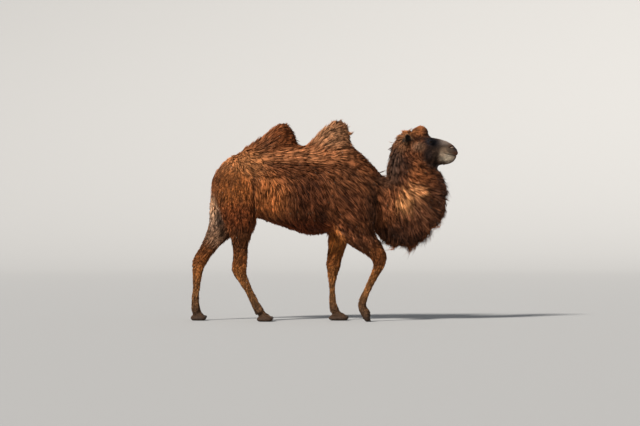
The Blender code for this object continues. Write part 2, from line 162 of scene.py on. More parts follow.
# Each guide: place (x, distance from the middle plane, z), the way the hair lies (forward, outward,
# up), length of a lock, depth of the coat, curl, half width of a lock, how far it stands free.
GUIDES = {
    "rump rear": ((-1.2, 0.1, 1.41), (0, 0.1, -1), 0.05, 0.022, 0.5, 0.003, 0.1),
    "rump top": ((-1.05, 0.05, 1.66), (-0.3, 0.4, -0.6), 0.055, 0.024, 0.5, 0.0032, 0.15),
    "croup": ((-0.86, 0.15, 1.74), (0.3, 0.5, -0.5), 0.08, 0.028, 0.4, 0.0036, 0.15),
    "haunch": ((-0.95, 0.32, 1.45), (0.1, 0, -1), 0.045, 0.02, 0.8, 0.0028, 0.1),
    "thigh": ((-0.9, 0.32, 1.16), (0.1, 0, -1), 0.055, 0.024, 0.9, 0.0032, 0.15),
    "loin": ((-0.72, 0.25, 1.66), (0.7, 0.2, -0.6), 0.15, 0.04, 0.4, 0.0042, 0.12),
    "rear hump rear": ((-0.7, 0.08, 1.86), (0.85, 0, 0.45), 0.14, 0.042, 0.3, 0.0042, 0.18),
    "rear hump side": ((-0.5, 0.12, 1.95), (0.8, 0, 0.55), 0.17, 0.038, 0.4, 0.0042, 0.15),
    "rear hump top": ((-0.43, 0.02, 2.1), (1, 0, 0.1), 0.15, 0.036, 0.3, 0.0036, 0.5),
    "rear hump front": ((-0.31, 0.06, 1.97), (0.95, 0.1, -0.2), 0.16, 0.044, 0.3, 0.0036, 0.75),
    "saddle": ((-0.2, 0.08, 1.86), (1, 0.1, 0.1), 0.14, 0.05, 0.4, 0.0044, 0.3),
    "saddle side": ((-0.22, 0.28, 1.76), (1, 0.1, -0.25), 0.2, 0.05, 0.4, 0.0046, 0.12),
    "front hump rear": ((-0.06, 0.08, 1.98), (0.8, 0, 0.55), 0.14, 0.042, 0.3, 0.0042, 0.25),
    "front hump side": ((0.12, 0.14, 1.9), (0.9, 0, 0.4), 0.17, 0.038, 0.4, 0.0042, 0.15),
    "front hump top": ((0.15, 0.02, 2.13), (1, 0, 0.15), 0.15, 0.036, 0.3, 0.0036, 0.5),
    "front hump front": ((0.26, 0.06, 1.95), (0.9, 0.1, -0.3), 0.15, 0.042, 0.3, 0.0038, 0.65),
    "back": ((-0.45, 0.26, 1.74), (0.95, 0.1, -0.25), 0.2, 0.05, 0.4, 0.0046, 0.12),
    "withers": ((0.38, 0.05, 1.72), (0.85, 0, 0.2), 0.12, 0.044, 0.3, 0.0036, 0.6),
    "neck base": ((0.56, 0.04, 1.58), (0.75, 0, 0.5), 0.085, 0.04, 0.3, 0.0038, 0.6),
    "withers side": ((0.3, 0.25, 1.62), (0.8, 0, -0.6), 0.19, 0.048, 0.3, 0.0046, 0.15),
    "upper flank": ((-0.45, 0.38, 1.55), (0.7, 0, -0.7), 0.23, 0.052, 0.5, 0.0046, 0.15),
    "groove": ((-0.62, 0.35, 1.38), (0.1, 0, -1), 0.18, 0.048, 0.3, 0.0044, 0.15),
    "flank": ((-0.35, 0.42, 1.36), (0.22, 0, -1), 0.24, 0.054, 0.7, 0.0046, 0.18),
    "flank front": ((-0.04, 0.4, 1.38), (0.4, 0, -0.9), 0.24, 0.054, 0.7, 0.0046, 0.18),
    "low flank rear": ((-0.6, 0.32, 1.14), (0.1, 0, -1), 0.15, 0.044, 0.5, 0.0046, 0.3),
    "low flank": ((-0.25, 0.34, 1.08), (0.15, 0, -1), 0.16, 0.052, 0.6, 0.0044, 0.5),
    "belly": ((-0.2, 0, 0.93), (0.5, 0, -1), 0.11, 0.05, 0.6, 0.004, 0.75),
    "belly rear": ((-0.6, 0, 1.07), (0.5, 0, -1), 0.07, 0.035, 0.5, 0.0042, 0.5),
    "shoulder": ((0.3, 0.3, 1.5), (0.7, 0, -0.8), 0.24, 0.052, 0.3, 0.0046, 0.15),
    "upper arm": ((0.23, 0.33, 1.24), (0.65, 0, -0.8), 0.22, 0.05, 0.3, 0.0044, 0.18),
    "elbow": ((0.15, 0.31, 1.04), (0.65, 0, -0.75), 0.14, 0.042, 0.3, 0.0044, 0.3),
    "chest side": ((0.52, 0.24, 1.3), (0.35, 0, -1), 0.21, 0.052, 0.3, 0.0046, 0.18),
    "brisket": ((0.5, 0.05, 0.98), (0.3, 0, -1), 0.14, 0.05, 0.4, 0.0042, 0.5),
    "mane base": ((0.72, 0.16, 1.52), (0.3, 0.15, -1), 0.22, 0.055, 0.2, 0.0042, 0.25),
    "mane": ((0.7, 0.06, 1.76), (-0.35, 0.6, -0.9), 0.19, 0.045, 0.2, 0.004, 0.5),
    "nape": ((0.75, 0.03, 1.93), (-0.8, 0.3, -0.1), 0.12, 0.05, 0.3, 0.0034, 0.75),
    "mane side": ((0.84, 0.16, 1.62), (0.35, 0, -1), 0.22, 0.048, 0.2, 0.0042, 0.22),
    "neck side": ((0.98, 0.18, 1.46), (0.95, 0, -0.25), 0.23, 0.055, 0.3, 0.0044, 0.25),
    "neck rear": ((0.74, 0.19, 1.32), (0.15, 0, -1), 0.24, 0.055, 0.3, 0.0046, 0.25),
    "throat top": ((1.12, 0.1, 1.62), (1, 0.1, -0.1), 0.16, 0.045, 0.3, 0.0042, 0.3),
    "throat": ((1.14, 0.13, 1.48), (1, 0.1, -0.2), 0.21, 0.062, 0.3, 0.004, 0.45),
    "throat front": ((1.28, 0.03, 1.42), (0.95, 0, -0.3), 0.15, 0.085, 0.2, 0.0036, 0.88),
    "beard side": ((1, 0.18, 1.12), (0.35, 0, -1), 0.26, 0.075, 0.3, 0.0046, 0.4),
    "beard front": ((1.25, 0.06, 1.15), (0.78, 0, -0.65), 0.16, 0.095, 0.2, 0.0036, 0.88),
    "beard low": ((1.02, 0.03, 0.9), (0.3, 0, -1), 0.165, 0.105, 0.2, 0.0037, 0.88),
    "beard rear": ((0.74, 0.06, 0.84), (0.05, 0, -1), 0.16, 0.095, 0.2, 0.0038, 0.88),
    "crown rear": ((0.86, 0.04, 2.02), (-0.5, 0.2, 0.5), 0.075, 0.028, 0.6, 0.0028, 0.6),
    "crown": ((1.02, 0.03, 2.09), (0.3, 0.1, 0.8), 0.075, 0.028, 0.7, 0.0026, 0.75),
    "crown front": ((1.12, 0.03, 2.03), (0.9, 0.1, 0.1), 0.055, 0.026, 0.8, 0.0026, 0.6),
    "crown side": ((0.98, 0.11, 2), (0.2, 0.5, -0.5), 0.06, 0.026, 0.8, 0.003, 0.35),
    "behind ear": ((0.82, 0.12, 1.88), (-0.2, 0.1, -0.9), 0.1, 0.036, 0.4, 0.0038, 0.2),
    "cheek": ((1, 0.13, 1.84), (0.3, 0, -0.9), 0.055, 0.02, 0.5, 0.003, 0.12),
    "jaw angle": ((1.06, 0.12, 1.7), (0.8, 0, -0.6), 0.09, 0.03, 0.3, 0.0034, 0.2),
    "temple": ((1.06, 0.12, 1.93), (-0.7, 0, -0.3), 0.034, 0.01, 0.4, 0.0025, 0.08),
    "eye": ((1.14, 0.115, 1.914), (-0.7, 0, 0), 0.013, 0.0025, 0.1, 0.0012, 0),
    "under eye": ((1.14, 0.11, 1.86), (-0.7, 0, -0.6), 0.02, 0.005, 0.3, 0.0015, 0.05),
    "brow": ((1.16, 0.07, 1.96), (-0.6, 0.3, 0.2), 0.02, 0.006, 0.4, 0.0016, 0.08),
    "nose bridge": ((1.28, 0.02, 1.93), (-1, 0.2, 0.1), 0.014, 0.0026, 0.2, 0.0012, 0),
    "nose tip": ((1.42, 0.02, 1.84), (-0.8, 0.3, 0.3), 0.009, 0.0015, 0.1, 0.0009, 0),
    "muzzle": ((1.32, 0.07, 1.8), (-1, 0, -0.2), 0.013, 0.0026, 0.2, 0.0011, 0),
    "lower lip": ((1.37, 0.03, 1.71), (-0.9, 0, -0.4), 0.014, 0.0026, 0.2, 0.0011, 0.1),
    "jaw": ((1.2, 0.06, 1.7), (-0.8, 0, -0.6), 0.028, 0.008, 0.5, 0.002, 0.12),
    "chin": ((1.265, 0.01, 1.67), (0, 0, -1), 0.055, 0.012, 0.4, 0.0022, 0.75),
    "jaw rear": ((0.93, 0.14, 1.76), (0.8, 0, -0.6), 0.13, 0.036, 0.3, 0.0038, 0.2),
    "neck low": ((0.9, 0.2, 1.28), (0.45, 0, -0.9), 0.25, 0.055, 0.3, 0.0044, 0.25),
    "throat low": ((1.16, 0.15, 1.28), (0.8, 0.05, -0.6), 0.23, 0.07, 0.3, 0.0044, 0.45),
    "tail top": ((-1.17, 0.03, 1.52), (-0.1, 0.3, -1), 0.06, 0.016, 0.4, 0.0034, 0.1),
    "tail end": ((-1.19, 0.03, 1.1), (-0.05, 0.1, -1), 0.1, 0.018, 0.4, 0.0036, 0.5),
    "throat front top": ((1.215, 0.03, 1.57), (1, 0, -0.15), 0.1, 0.06, 0.2, 0.0034, 0.75),
}

# Below the trunk each leg has its own line, from the top down, which its hair follows.
LEG_LINES = {
    "hind right": ((-0.88, 1.1), (-0.885, 0.83), (-0.895, 0.56), (-0.79, 0.32), (-0.7, 0.15), (-0.63, 0)),
    "hind left": ((-1.05, 1.1), (-1.2, 0.85), (-1.34, 0.62), (-1.37, 0.35), (-1.385, 0.17), (-1.33, 0)),
    "fore right": ((0.3, 1.05), (0.47, 0.83), (0.6, 0.68), (0.56, 0.52), (0.42, 0.23), (0.45, 0)),
    "fore left": ((0.17, 1.05), (0.15, 0.8), (0.11, 0.57), (0.1, 0.35), (0.1, 0.17), (0.16, 0)),
}

# Short coat of the legs by height: z, length, depth, curl, half width, stand.
LEG_COAT = (
    (0, 0.014, 0.0035, 0.2, 0.0017, 0),
    (0.06, 0.02, 0.0065, 0.4, 0.002, 0.1),
    (0.16, 0.032, 0.01, 0.7, 0.0024, 0.2),
    (0.35, 0.036, 0.0115, 0.9, 0.0027, 0.2),
    (0.55, 0.044, 0.0145, 1, 0.003, 0.2),
    (0.75, 0.054, 0.018, 1, 0.0033, 0.15),
    (0.95, 0.066, 0.023, 0.8, 0.0036, 0.1),
)

HIND_X = -0.45  # legs behind this are hind legs
HIND_TOP, FORE_TOP = 1.02, 0.93  # height at which they leave the trunk
LEG_BLEND = 0.16
# The beard hangs in front of the foreleg: height, and the furthest forward that the leg reaches there.
LEG_FRONT = ((0.60, 0.82), (0.70, 0.74), (0.78, 0.665), (0.90, 0.60), (1.00, 0.57))


def smooth_step(low, high, value):
    t = np.clip((value - low) / (high - low), 0.0, 1.0)
    return t * t * (3 - 2 * t)


def unit(rows):
    return rows / np.maximum(np.linalg.norm(rows, axis=1, keepdims=True), 1e-9)


def mirrored(points):
    """The points with those of the right side laid over to the left."""
    out = np.array(points, dtype=float)
    out[:, 1] = np.abs(out[:, 1])
    return out


def leg_share(points):
    """1 on the legs, 0 on the trunk, with a soft change between them."""
    top = np.where(points[:, 0] < HIND_X, HIND_TOP, FORE_TOP)
    low = smooth_step(0.0, LEG_BLEND, top + LEG_BLEND / 4 - points[:, 2])
    edge = np.interp(points[:, 2], *zip(*LEG_FRONT))
    return low * (1 - smooth_step(0.0, 0.05, points[:, 0] - edge))


def leg_names(points):
    """The number in LEG_LINES of the leg that each point would belong to."""
    return np.where(points[:, 0] < HIND_X, 0, 2) + (points[:, 1] > 0)


def leg_axis(line, heights):
    """How far forward a leg's own line is at each height."""
    places, levels = zip(*line[::-1])
    return np.interp(heights, levels, places)


def leg_lie(points):
    """The way down the nearest leg's own line."""
    out = np.zeros_like(points)
    owner = leg_names(points)
    half, lean = 0.05, 0.02
    for index, line in enumerate(LEG_LINES.values()):
        mine = owner == index
        z = points[mine, 2]
        forward = leg_axis(line, z - half) - leg_axis(line, z + half) - lean
        out[mine] = np.stack([forward, np.zeros_like(z), np.full_like(z, -2 * half)], axis=1)
    return unit(out)


def ear_share(points):
    """1 on the free part of either ear, 0 elsewhere."""
    local = mirrored(points) - EAR_ROOT
    along = local @ EAR_WAY
    away = np.linalg.norm(local - along[:, None] * EAR_WAY, axis=1)
    return smooth_step(0.030, 0.050, along) * smooth_step(0.080, 0.066, away) * (along < 0.22)


# Nearer the middle plane than this, the hair lies less and less outward, so that no bare parting shows.
PARTING = 0.08
GUIDE_SOFTNESS = 0.0012


def lie_of_coat(points):
    """For each point: the way the hair lies, and length, depth, curl, half width and stand of a lock."""
    places = np.array([g[0] for g in GUIDES.values()])
    ways = np.array([g[1] for g in GUIDES.values()])
    sizes = np.array([g[2:] for g in GUIDES.values()])
    side = np.sign(points[:, 1:2])
    apart = mirrored(points)[:, None, :] - places[None, :, :]
    gap = (apart**2).sum(axis=2)
    weight = 1.0 / (gap + GUIDE_SOFTNESS) ** 2
    weight /= weight.sum(axis=1, keepdims=True)
    way = weight @ ways
    way[:, 1] *= np.clip(points[:, 1] / PARTING, -1.0, 1.0)
    size = weight @ sizes
    size[:, :4] = np.exp(weight @ np.log(sizes[:, :4]))
    legs = leg_share(points)[:, None]
    table = np.array(LEG_COAT)
    short = np.stack([np.interp(points[:, 2], table[:, 0], table[:, k]) for k in range(1, 6)], axis=1)
    way = unit(way) * (1 - legs) + leg_lie(points) * legs
    size = size * (1 - legs) + short * legs
    ears = ear_share(points)[:, None]
    ear_way = EAR_WAY * np.concatenate([np.ones_like(side), side, np.ones_like(side)], axis=1)
    way = way * (1 - ears) + ear_way * ears
    size = size * (1 - ears) + np.array(EAR_COAT) * ears
    return unit(way), size


# Markings and painted light --------------------

RUSSET = (0.165, 0.055, 0.020)

# Each marking: middle (x, distance from the middle plane, z), reach each way, colour, strength. Some markings
# are painted light or painted shade rather than the coat's own colour, as noted at each.
MARKINGS = {
    # Painted sunlight: the tops of the humps are made paler, as if lit by the sun.
    "hump light": ((0.1, 0.1, 1.98), (0.24, 0.3, 0.18), (0.385, 0.188, 0.091), 0.85),
    "rear hump light": ((-0.42, 0.1, 1.92), (0.16, 0.3, 0.18), (0.165, 0.048, 0.014), 0.75),
    "rear hump dark": ((-0.6, 0.1, 1.88), (0.1, 0.2, 0.1), (0.11, 0.042, 0.018), 0.6),
    "back light": ((-0.15, 0.3, 1.77), (0.48, 0.4, 0.1), (0.375, 0.15, 0.061), 0.78),
    # Painted sunlight on the top of the croup.
    "croup painted sunlight": ((-0.85, 0.2, 1.66), (0.28, 0.4, 0.17), (0.415, 0.172, 0.063), 0.8),
    "haunch": ((-0.95, 0.3, 1.4), (0.24, 0.3, 0.22), (0.285, 0.092, 0.023), 0.85),
    "rump edge dark": ((-1.14, 0.3, 1.36), (0.05, 0.3, 0.2), (0.08, 0.032, 0.014), 0.6),
    "thigh dark": ((-0.9, 0.3, 1.12), (0.24, 0.4, 0.16), (0.158, 0.038, 0.0097), 0.7),
    "flank gold": ((-0.58, 0.4, 1.3), (0.17, 0.3, 0.26), (0.42, 0.14, 0.04), 0.85),
    # Painted shade in the crease between haunch and flank.
    "groove painted shade": ((-0.735, 0.4, 1.34), (0.03, 0.3, 0.24), (0.045, 0.014, 0.006), 0.8),
    "flank dark": ((-0.13, 0.4, 1.33), (0.2, 0.4, 0.26), (0.07, 0.02, 0.008), 0.8),
    # Painted shade: the underside of the belly is darker, as in the shadow under the body.
    "belly painted shade": ((-0.2, 0.2, 1), (0.5, 0.5, 0.12), (0.106, 0.021, 0.006), 0.8),
    "shoulder": ((0.3, 0.3, 1.52), (0.24, 0.3, 0.18), (0.14, 0.05, 0.02), 0.7),
    "upper arm dark": ((0.28, 0.3, 1.22), (0.24, 0.3, 0.2), (0.09, 0.029, 0.012), 0.8),
    # Painted shadow between the belly wool and the upper arm.
    "behind elbow painted shadow": ((0, 0.3, 1.13), (0.06, 0.2, 0.12), (0.03, 0.01, 0.005), 0.8),
    "chest dark": ((0.51, 0.2, 1.22), (0.07, 0.3, 0.3), (0.03, 0.012, 0.006), 0.9),
    "mane dark": ((0.78, 0.1, 1.68), (0.14, 0.3, 0.24), (0.056, 0.031, 0.021), 0.95),
    "mane front dark": ((0.9, 0.2, 1.72), (0.07, 0.3, 0.11), (0.045, 0.015, 0.007), 0.85),
    "mane base dark": ((0.66, 0.2, 1.52), (0.12, 0.3, 0.12), (0.066, 0.032, 0.019), 0.8),
    "neck russet": ((1.06, 0.2, 1.48), (0.2, 0.3, 0.18), (0.142, 0.045, 0.0165), 0.85),
    # A tan patch of hair on the neck, made brighter as painted sunlight.
    "tan patch and painted sunlight": ((0.985, 0.2, 1.375), (0.12, 0.3, 0.11), (0.7, 0.32, 0.13), 0.9),
    # The lower part of the same tan patch, also brightened as painted sunlight.
    "tan patch and painted sunlight low": ((0.88, 0.2, 1.24), (0.1, 0.3, 0.11), (0.76, 0.35, 0.13), 0.88),
    "beard": ((1.04, 0.2, 1.12), (0.22, 0.3, 0.18), (0.15, 0.06, 0.03), 0.8),
    "throat edge": ((1.26, 0, 1.42), (0.06, 0.2, 0.24), (0.072, 0.033, 0.022), 0.8),
    "beard dark": ((0.84, 0.2, 0.94), (0.32, 0.3, 0.13), (0.011, 0.007, 0.006), 0.9),
    "nape brown": ((0.84, 0.1, 1.94), (0.1, 0.3, 0.12), (0.235, 0.105, 0.048), 0.75),
    "topknot": ((0.98, 0, 2.06), (0.17, 0.2, 0.085), (0.29, 0.105, 0.036), 0.9),
    "crown edge": ((1.1, 0, 2.04), (0.04, 0.2, 0.06), (0.11, 0.045, 0.022), 0.7),
    # Dark brown hair at the temple, darkened further as painted shade under the overhanging crown.
    "temple brown and painted shade": ((1.02, 0.12, 1.965), (0.09, 0.08, 0.028), (0.036, 0.014, 0.007), 0.9),
    "cheek light": ((1.02, 0.15, 1.865), (0.075, 0.1, 0.055), (0.35, 0.185, 0.105), 0.85),
    "cheek russet": ((0.97, 0.15, 1.78), (0.1, 0.1, 0.045), (0.19, 0.062, 0.024), 0.7),
    "face": ((1.25, 0, 1.83), (0.19, 0.3, 0.22), (0.042, 0.027, 0.019), 1),
    "muzzle side": ((1.295, 0.08, 1.82), (0.05, 0.08, 0.05), (0.175, 0.116, 0.076), 0.9),
    "bridge light": ((1.3, 0, 1.925), (0.075, 0.1, 0.045), (0.15, 0.116, 0.098), 0.95),
    "mask dark": ((1.16, 0.1, 1.925), (0.105, 0.18, 0.066), (0.006, 0.006, 0.009), 0.99),
    "cheek black": ((1.12, 0.1, 1.785), (0.065, 0.18, 0.09), (0.016, 0.01, 0.009), 0.92),
    "jaw black": ((1.173, 0.06, 1.672), (0.06, 0.15, 0.03), (0.01, 0.007, 0.006), 0.9),
    "cheek grey": ((1.205, 0.1, 1.81), (0.045, 0.1, 0.045), (0.05, 0.029, 0.019), 0.8),
    "muzzle dark": ((1.365, 0.05, 1.832), (0.055, 0.08, 0.03), (0.048, 0.033, 0.023), 0.9),
    "nostril rim": ((1.375, 0.05, 1.866), (0.026, 0.05, 0.008), (0.24, 0.17, 0.13), 0.8),
    "lips pale": ((1.332, 0.06, 1.745), (0.08, 0.12, 0.05), (0.34, 0.28, 0.21), 0.95),
    "nose dark": ((1.415, 0, 1.845), (0.042, 0.08, 0.055), (0.014, 0.013, 0.015), 0.95),
    "lip tip": ((1.412, 0, 1.738), (0.024, 0.05, 0.024), (0.05, 0.036, 0.03), 0.85),
    "chin pale": ((1.25, 0, 1.645), (0.048, 0.08, 0.035), (0.13, 0.12, 0.12), 0.9),
    "elbow pale": ((0.18, 0.34, 0.955), (0.06, 0.1, 0.032), (0.11, 0.095, 0.1), 0.85),
    "forearm dark": ((0.42, 0.3, 0.94), (0.18, 0.3, 0.14), (0.048, 0.015, 0.005), 0.75),
    "knee dark": ((0.57, 0.2, 0.66), (0.08, 0.2, 0.1), (0.11, 0.034, 0.01), 0.6),
    # Painted sunlight: the far forearm is made bright to outweigh the shadow that the near leg casts on it.
    "far forearm painted light": ((0.13, 0.17, 0.84), (0.1, 0.2, 0.16), (0.62, 0.22, 0.054), 0.8),
    "inner thigh": ((-1.18, 0.13, 1.1), (0.1, 0.14, 0.14), (0.42, 0.29, 0.21), 0.88),
    "far thigh light": ((-1.17, 0.15, 0.92), (0.12, 0.2, 0.14), (0.26, 0.15, 0.09), 0.75),
    "tail pale": ((-1.18, 0, 1.2), (0.08, 0.14, 0.15), (0.5, 0.3, 0.175), 0.85),
    "upper flank dark": ((-0.32, 0.4, 1.63), (0.36, 0.4, 0.085), (0.098, 0.031, 0.011), 0.8),
    "lip corner": ((1.275, 0.08, 1.785), (0.035, 0.08, 0.035), (0.29, 0.215, 0.15), 0.85),
    "mane low dark": ((0.85, 0.2, 1.57), (0.06, 0.3, 0.08), (0.05, 0.017, 0.008), 0.8),
    "neck bright": ((1.03, 0.2, 1.56), (0.08, 0.3, 0.1), (0.27, 0.09, 0.03), 0.8),
    "neck foot": ((0.64, 0.2, 1.25), (0.06, 0.3, 0.12), (0.18, 0.06, 0.025), 0.7),
    "upper arm light": ((0.17, 0.3, 1.12), (0.12, 0.3, 0.12), (0.17, 0.055, 0.02), 0.75),
    "forearm light": ((0.4, 0.3, 0.84), (0.14, 0.3, 0.1), (0.2, 0.07, 0.03), 0.7),
    "beard low": ((0.9, 0.2, 1.02), (0.16, 0.3, 0.1), (0.13, 0.045, 0.02), 0.7),
    "throat side dark": ((1.18, 0.2, 1.28), (0.08, 0.3, 0.22), (0.05, 0.02, 0.01), 0.8),
}

# The colour of the legs by height.
LEG_TINTS = (
    (0, (0.05, 0.032, 0.023)),
    (0.12, (0.095, 0.048, 0.024)),
    (0.3, (0.195, 0.085, 0.029)),
    (0.5, (0.245, 0.092, 0.025)),
    (0.62, (0.2, 0.066, 0.017)),
    (0.8, (0.112, 0.037, 0.012)),
    (1, (0.092, 0.031, 0.011)),
)


def markings(points):
    """The colour of the animal at each point, the same for its skin and its coat, with some light and shade
    painted in by the markings.
    """
    heights, colours = zip(*LEG_TINTS)
    legs = np.stack([np.interp(points[:, 2], heights, column) for column in zip(*colours)], axis=1)
    share = leg_share(points)[:, None]
    tint = np.array(RUSSET) * (1 - share) + legs * share
    folded = mirrored(points)
    for place, reach, colour, strength in MARKINGS.values():
        away = (((folded - np.array(place)) / np.array(reach)) ** 2).sum(axis=1)
        share = (strength * np.exp(-(away**2)))[:, None]
        tint = tint * (1 - share) + np.array(colour) * share
    return tint


# Materials --------------------

TONE = "camel_tone"
TONE_SOCKETS = (
    ("INPUT", (("Colour", "Color"), ("Lightness", "Float"))),
    ("INPUT", (("Nap place", "Vector"), ("Nap scale", "Float"), ("Nap depth", "Float"))),
    ("INPUT", (("Patch place", "Vector"), ("Patch scale", "Float"), ("Patch depth", "Float"))),
    ("OUTPUT", (("Colour", "Color"), ("Height", "Float"))),
)


def new_material(name, roughness, specular):
    """A material with its node tree and its shader."""
    made = bpy.data.materials.new(name)
    made.use_nodes = True
    tree = made.node_tree
    shader = tree.nodes["Principled BSDF"]
    fill(tree, shader, {"Roughness": roughness, "Specular IOR Level": specular})
    return made, tree, shader


def fill(tree, made, values):
    """Feeds a node's inputs, each by its name or number: sockets are linked, the rest are set."""
    for key, value in values.items():
        if isinstance(value, bpy.types.NodeSocket):
            tree.links.new(value, made.inputs[key])
        else:
            made.inputs[key].default_value = value
    return made


def node(tree, kind, values=(), **settings):
    made = tree.nodes.new(kind)
    for name, value in settings.items():
        setattr(made, name, value)
    return fill(tree, made, dict(values))


def maths(tree, operation, *values):
    return node(tree, "ShaderNodeMath", enumerate(values), operation=operation).outputs[0]


def vector_maths(tree, operation, values):
    return node(tree, "ShaderNodeVectorMath", values, operation=operation).outputs


def attribute(tree, name, output="Fac"):
    return node(tree, "ShaderNodeAttribute", attribute_name=name).outputs[output]


def object_place(tree):
    return node(tree, "ShaderNodeTexCoord").outputs["Object"]


def tone_group():
    """The node group behind wool, skin and horn: breaks a colour up by broad patches and a fine nap."""
    if TONE in bpy.data.node_groups:
        return bpy.data.node_groups[TONE]
    tree = bpy.data.node_groups.new(TONE, "ShaderNodeTree")
    for in_out, sockets in TONE_SOCKETS:
        for name, kind in sockets:
            tree.interface.new_socket(name=name, in_out=in_out, socket_type="NodeSocket" + kind)
    given = node(tree, "NodeGroupInput").outputs
    total = given["Lightness"]
    heights = {}
    for word in ("Nap", "Patch"):
        values = {"Vector": given[word + " place"], "Scale": given[word + " scale"], "Detail": 3.0}
        heights[word] = node(tree, "ShaderNodeTexNoise", values).outputs["Fac"]
        swing = maths(tree, "SUBTRACT", heights[word], 0.5)
        swing = maths(tree, "MULTIPLY", swing, given[word + " depth"])
        total = maths(tree, "MULTIPLY", total, maths(tree, "ADD", swing, 1.0))
    toned_colour = vector_maths(tree, "SCALE", {0: given["Colour"], "Scale": total})[0]
    node(tree, "NodeGroupOutput", {"Colour": toned_colour, "Height": heights["Nap"]})
    return tree


def toned(tree, shader, colour, lightness, nap, patch, bump):
    """Feeds a shader from the tone group. Nap and patch are each a place, a scale and a depth."""
    values = {"Colour": colour, "Lightness": lightness}
    for word, parts in (("Nap", nap), ("Patch", patch)):
        values.update({word + " place": parts[0], word + " scale": parts[1], word + " depth": parts[2]})
    group = node(tree, "ShaderNodeGroup", values, node_tree=tone_group())
    strength, distance = bump
    values = {"Height": group.outputs["Height"], "Strength": strength, "Distance": distance}
    relief = node(tree, "ShaderNodeBump", values)
    fill(tree, shader, {"Base Color": group.outputs["Colour"], "Normal": relief.outputs["Normal"]})


def coat_material():
    """Wool: the marking's colour, darker at the root, paler at the tip, each lock its own shade."""
    made, tree, shader = new_material("wool", 0.72, 0.12)
    tint = attribute(tree, "tint", "Color")
    rise = maths(tree, "ADD", maths(tree, "MULTIPLY", attribute(tree, "along"), 0.62), 0.56)
    lightness = maths(tree, "MULTIPLY", rise, attribute(tree, "shade"))
    strand = node(tree, "ShaderNodeUVMap", uv_map="Strand").outputs["UV"]
    toned(tree, shader, tint, lightness, (strand, 5.0, 1.0), (object_place(tree), 7.0, 0.9), (0.5, 0.002))
    return made


def skin_material():
    """Skin under the coat, with a nap of very short fur, darkened by the painted shade in its under
    attribute.
    """
    made, tree, shader = new_material("skin", 0.7, 0.12)
    tint, under = attribute(tree, "tint", "Color"), attribute(tree, "under")
    place = object_place(tree)
    toned(tree, shader, tint, under, (place, 260.0, 0.8), (place, 22.0, 0.7), (0.6, 0.0015))
    return made


def horn_material(colour):
    """Dull horn of the nails, clouded and finely pitted."""
    made, tree, shader = new_material("horn", 0.6, 0.5)
    place = object_place(tree)
    base = node(tree, "ShaderNodeRGB").outputs[0]
    base.default_value = (*colour, 1.0)
    toned(tree, shader, base, 1.0, (place, 90.0, 1.6), (place, 20.0, 0.6), (0.3, 0.001))
    return made


EYE_RIM = (0.022, 0.016, 0.013, 1.0)
# Where the iris starts, as a cosine off the eye's axis, and where the level oval of the pupil ends.
IRIS_EDGE = (0.70, 0.76)
PUPIL_EDGE = (0.14, 0.19)
PUPIL_FLATNESS = 1.9


def ramp(tree, value, edge):
    values = {"Value": value, "From Min": edge[0], "From Max": edge[1]}
    return node(tree, "ShaderNodeMapRange", values).outputs[0]


def eye_material(iris_colour):
    """Dark brown iris with a wide level pupil, under a glossy clear coat."""
    made, tree, shader = new_material("eye", 0.12, 0.1)
    split = node(tree, "ShaderNodeSeparateXYZ", {0: object_place(tree)}).outputs
    forward = maths(tree, "SUBTRACT", split["X"], EYE_MIDDLE.x)
    outward = maths(tree, "SUBTRACT", maths(tree, "ABSOLUTE", split["Y"]), EYE_MIDDLE.y)
    rise = maths(tree, "SUBTRACT", split["Z"], EYE_MIDDLE.z)
    local = node(tree, "ShaderNodeCombineXYZ", {0: forward, 1: outward, 2: rise}).outputs[0]
    dot = vector_maths(tree, "DOT_PRODUCT", {0: local, 1: EYE_AXIS})["Value"]
    length = vector_maths(tree, "LENGTH", {0: local})["Value"]
    ahead = maths(tree, "DIVIDE", dot, length)
    high = maths(tree, "MULTIPLY", maths(tree, "DIVIDE", rise, length), PUPIL_FLATNESS)
    wide = maths(tree, "SUBTRACT", 1.0, ahead)
    oval = maths(tree, "ADD", wide, maths(tree, "MULTIPLY", high, high))
    values = {"Factor": ramp(tree, ahead, IRIS_EDGE), "A": EYE_RIM, "B": (*iris_colour, 1.0)}
    mix = node(tree, "ShaderNodeMix", values, data_type="RGBA")
    dim = maths(tree, "ADD", maths(tree, "MULTIPLY", ramp(tree, oval, PUPIL_EDGE), 0.92), 0.08)
    dark = vector_maths(tree, "SCALE", {0: mix.outputs["Result"], "Scale": dim})[0]
    fill(tree, shader, {"Base Color": dark, "Coat Weight": 0.14, "Coat Roughness": 0.03})
    return made


# Helpers for pieces --------------------

PUFF = 0.0012  # how far the nodes of flesh are swollen so that they overlap
MERGE_DISTANCE = 1e-5


def deselect():
    bpy.ops.object.select_all(action="DESELECT")


def pick(obj):
    deselect()
    obj.select_set(True)
    bpy.context.view_layer.objects.active = obj


def placed(name, data):
    obj = bpy.data.objects.new(name, data)
    bpy.context.scene.collection.objects.link(obj)
    return obj


def apply_modifier(obj, kind, **values):
    pick(obj)
    made = obj.modifiers.new(kind.lower(), kind)
    for name, value in values.items():
        setattr(made, name, value)
    bpy.ops.object.modifier_apply(modifier=made.name)


def finish_piece(obj, name, nodes=()):
    obj.name = name
    obj.data.name = name
    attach(obj, "root")
    if nodes:
        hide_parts(*nodes)


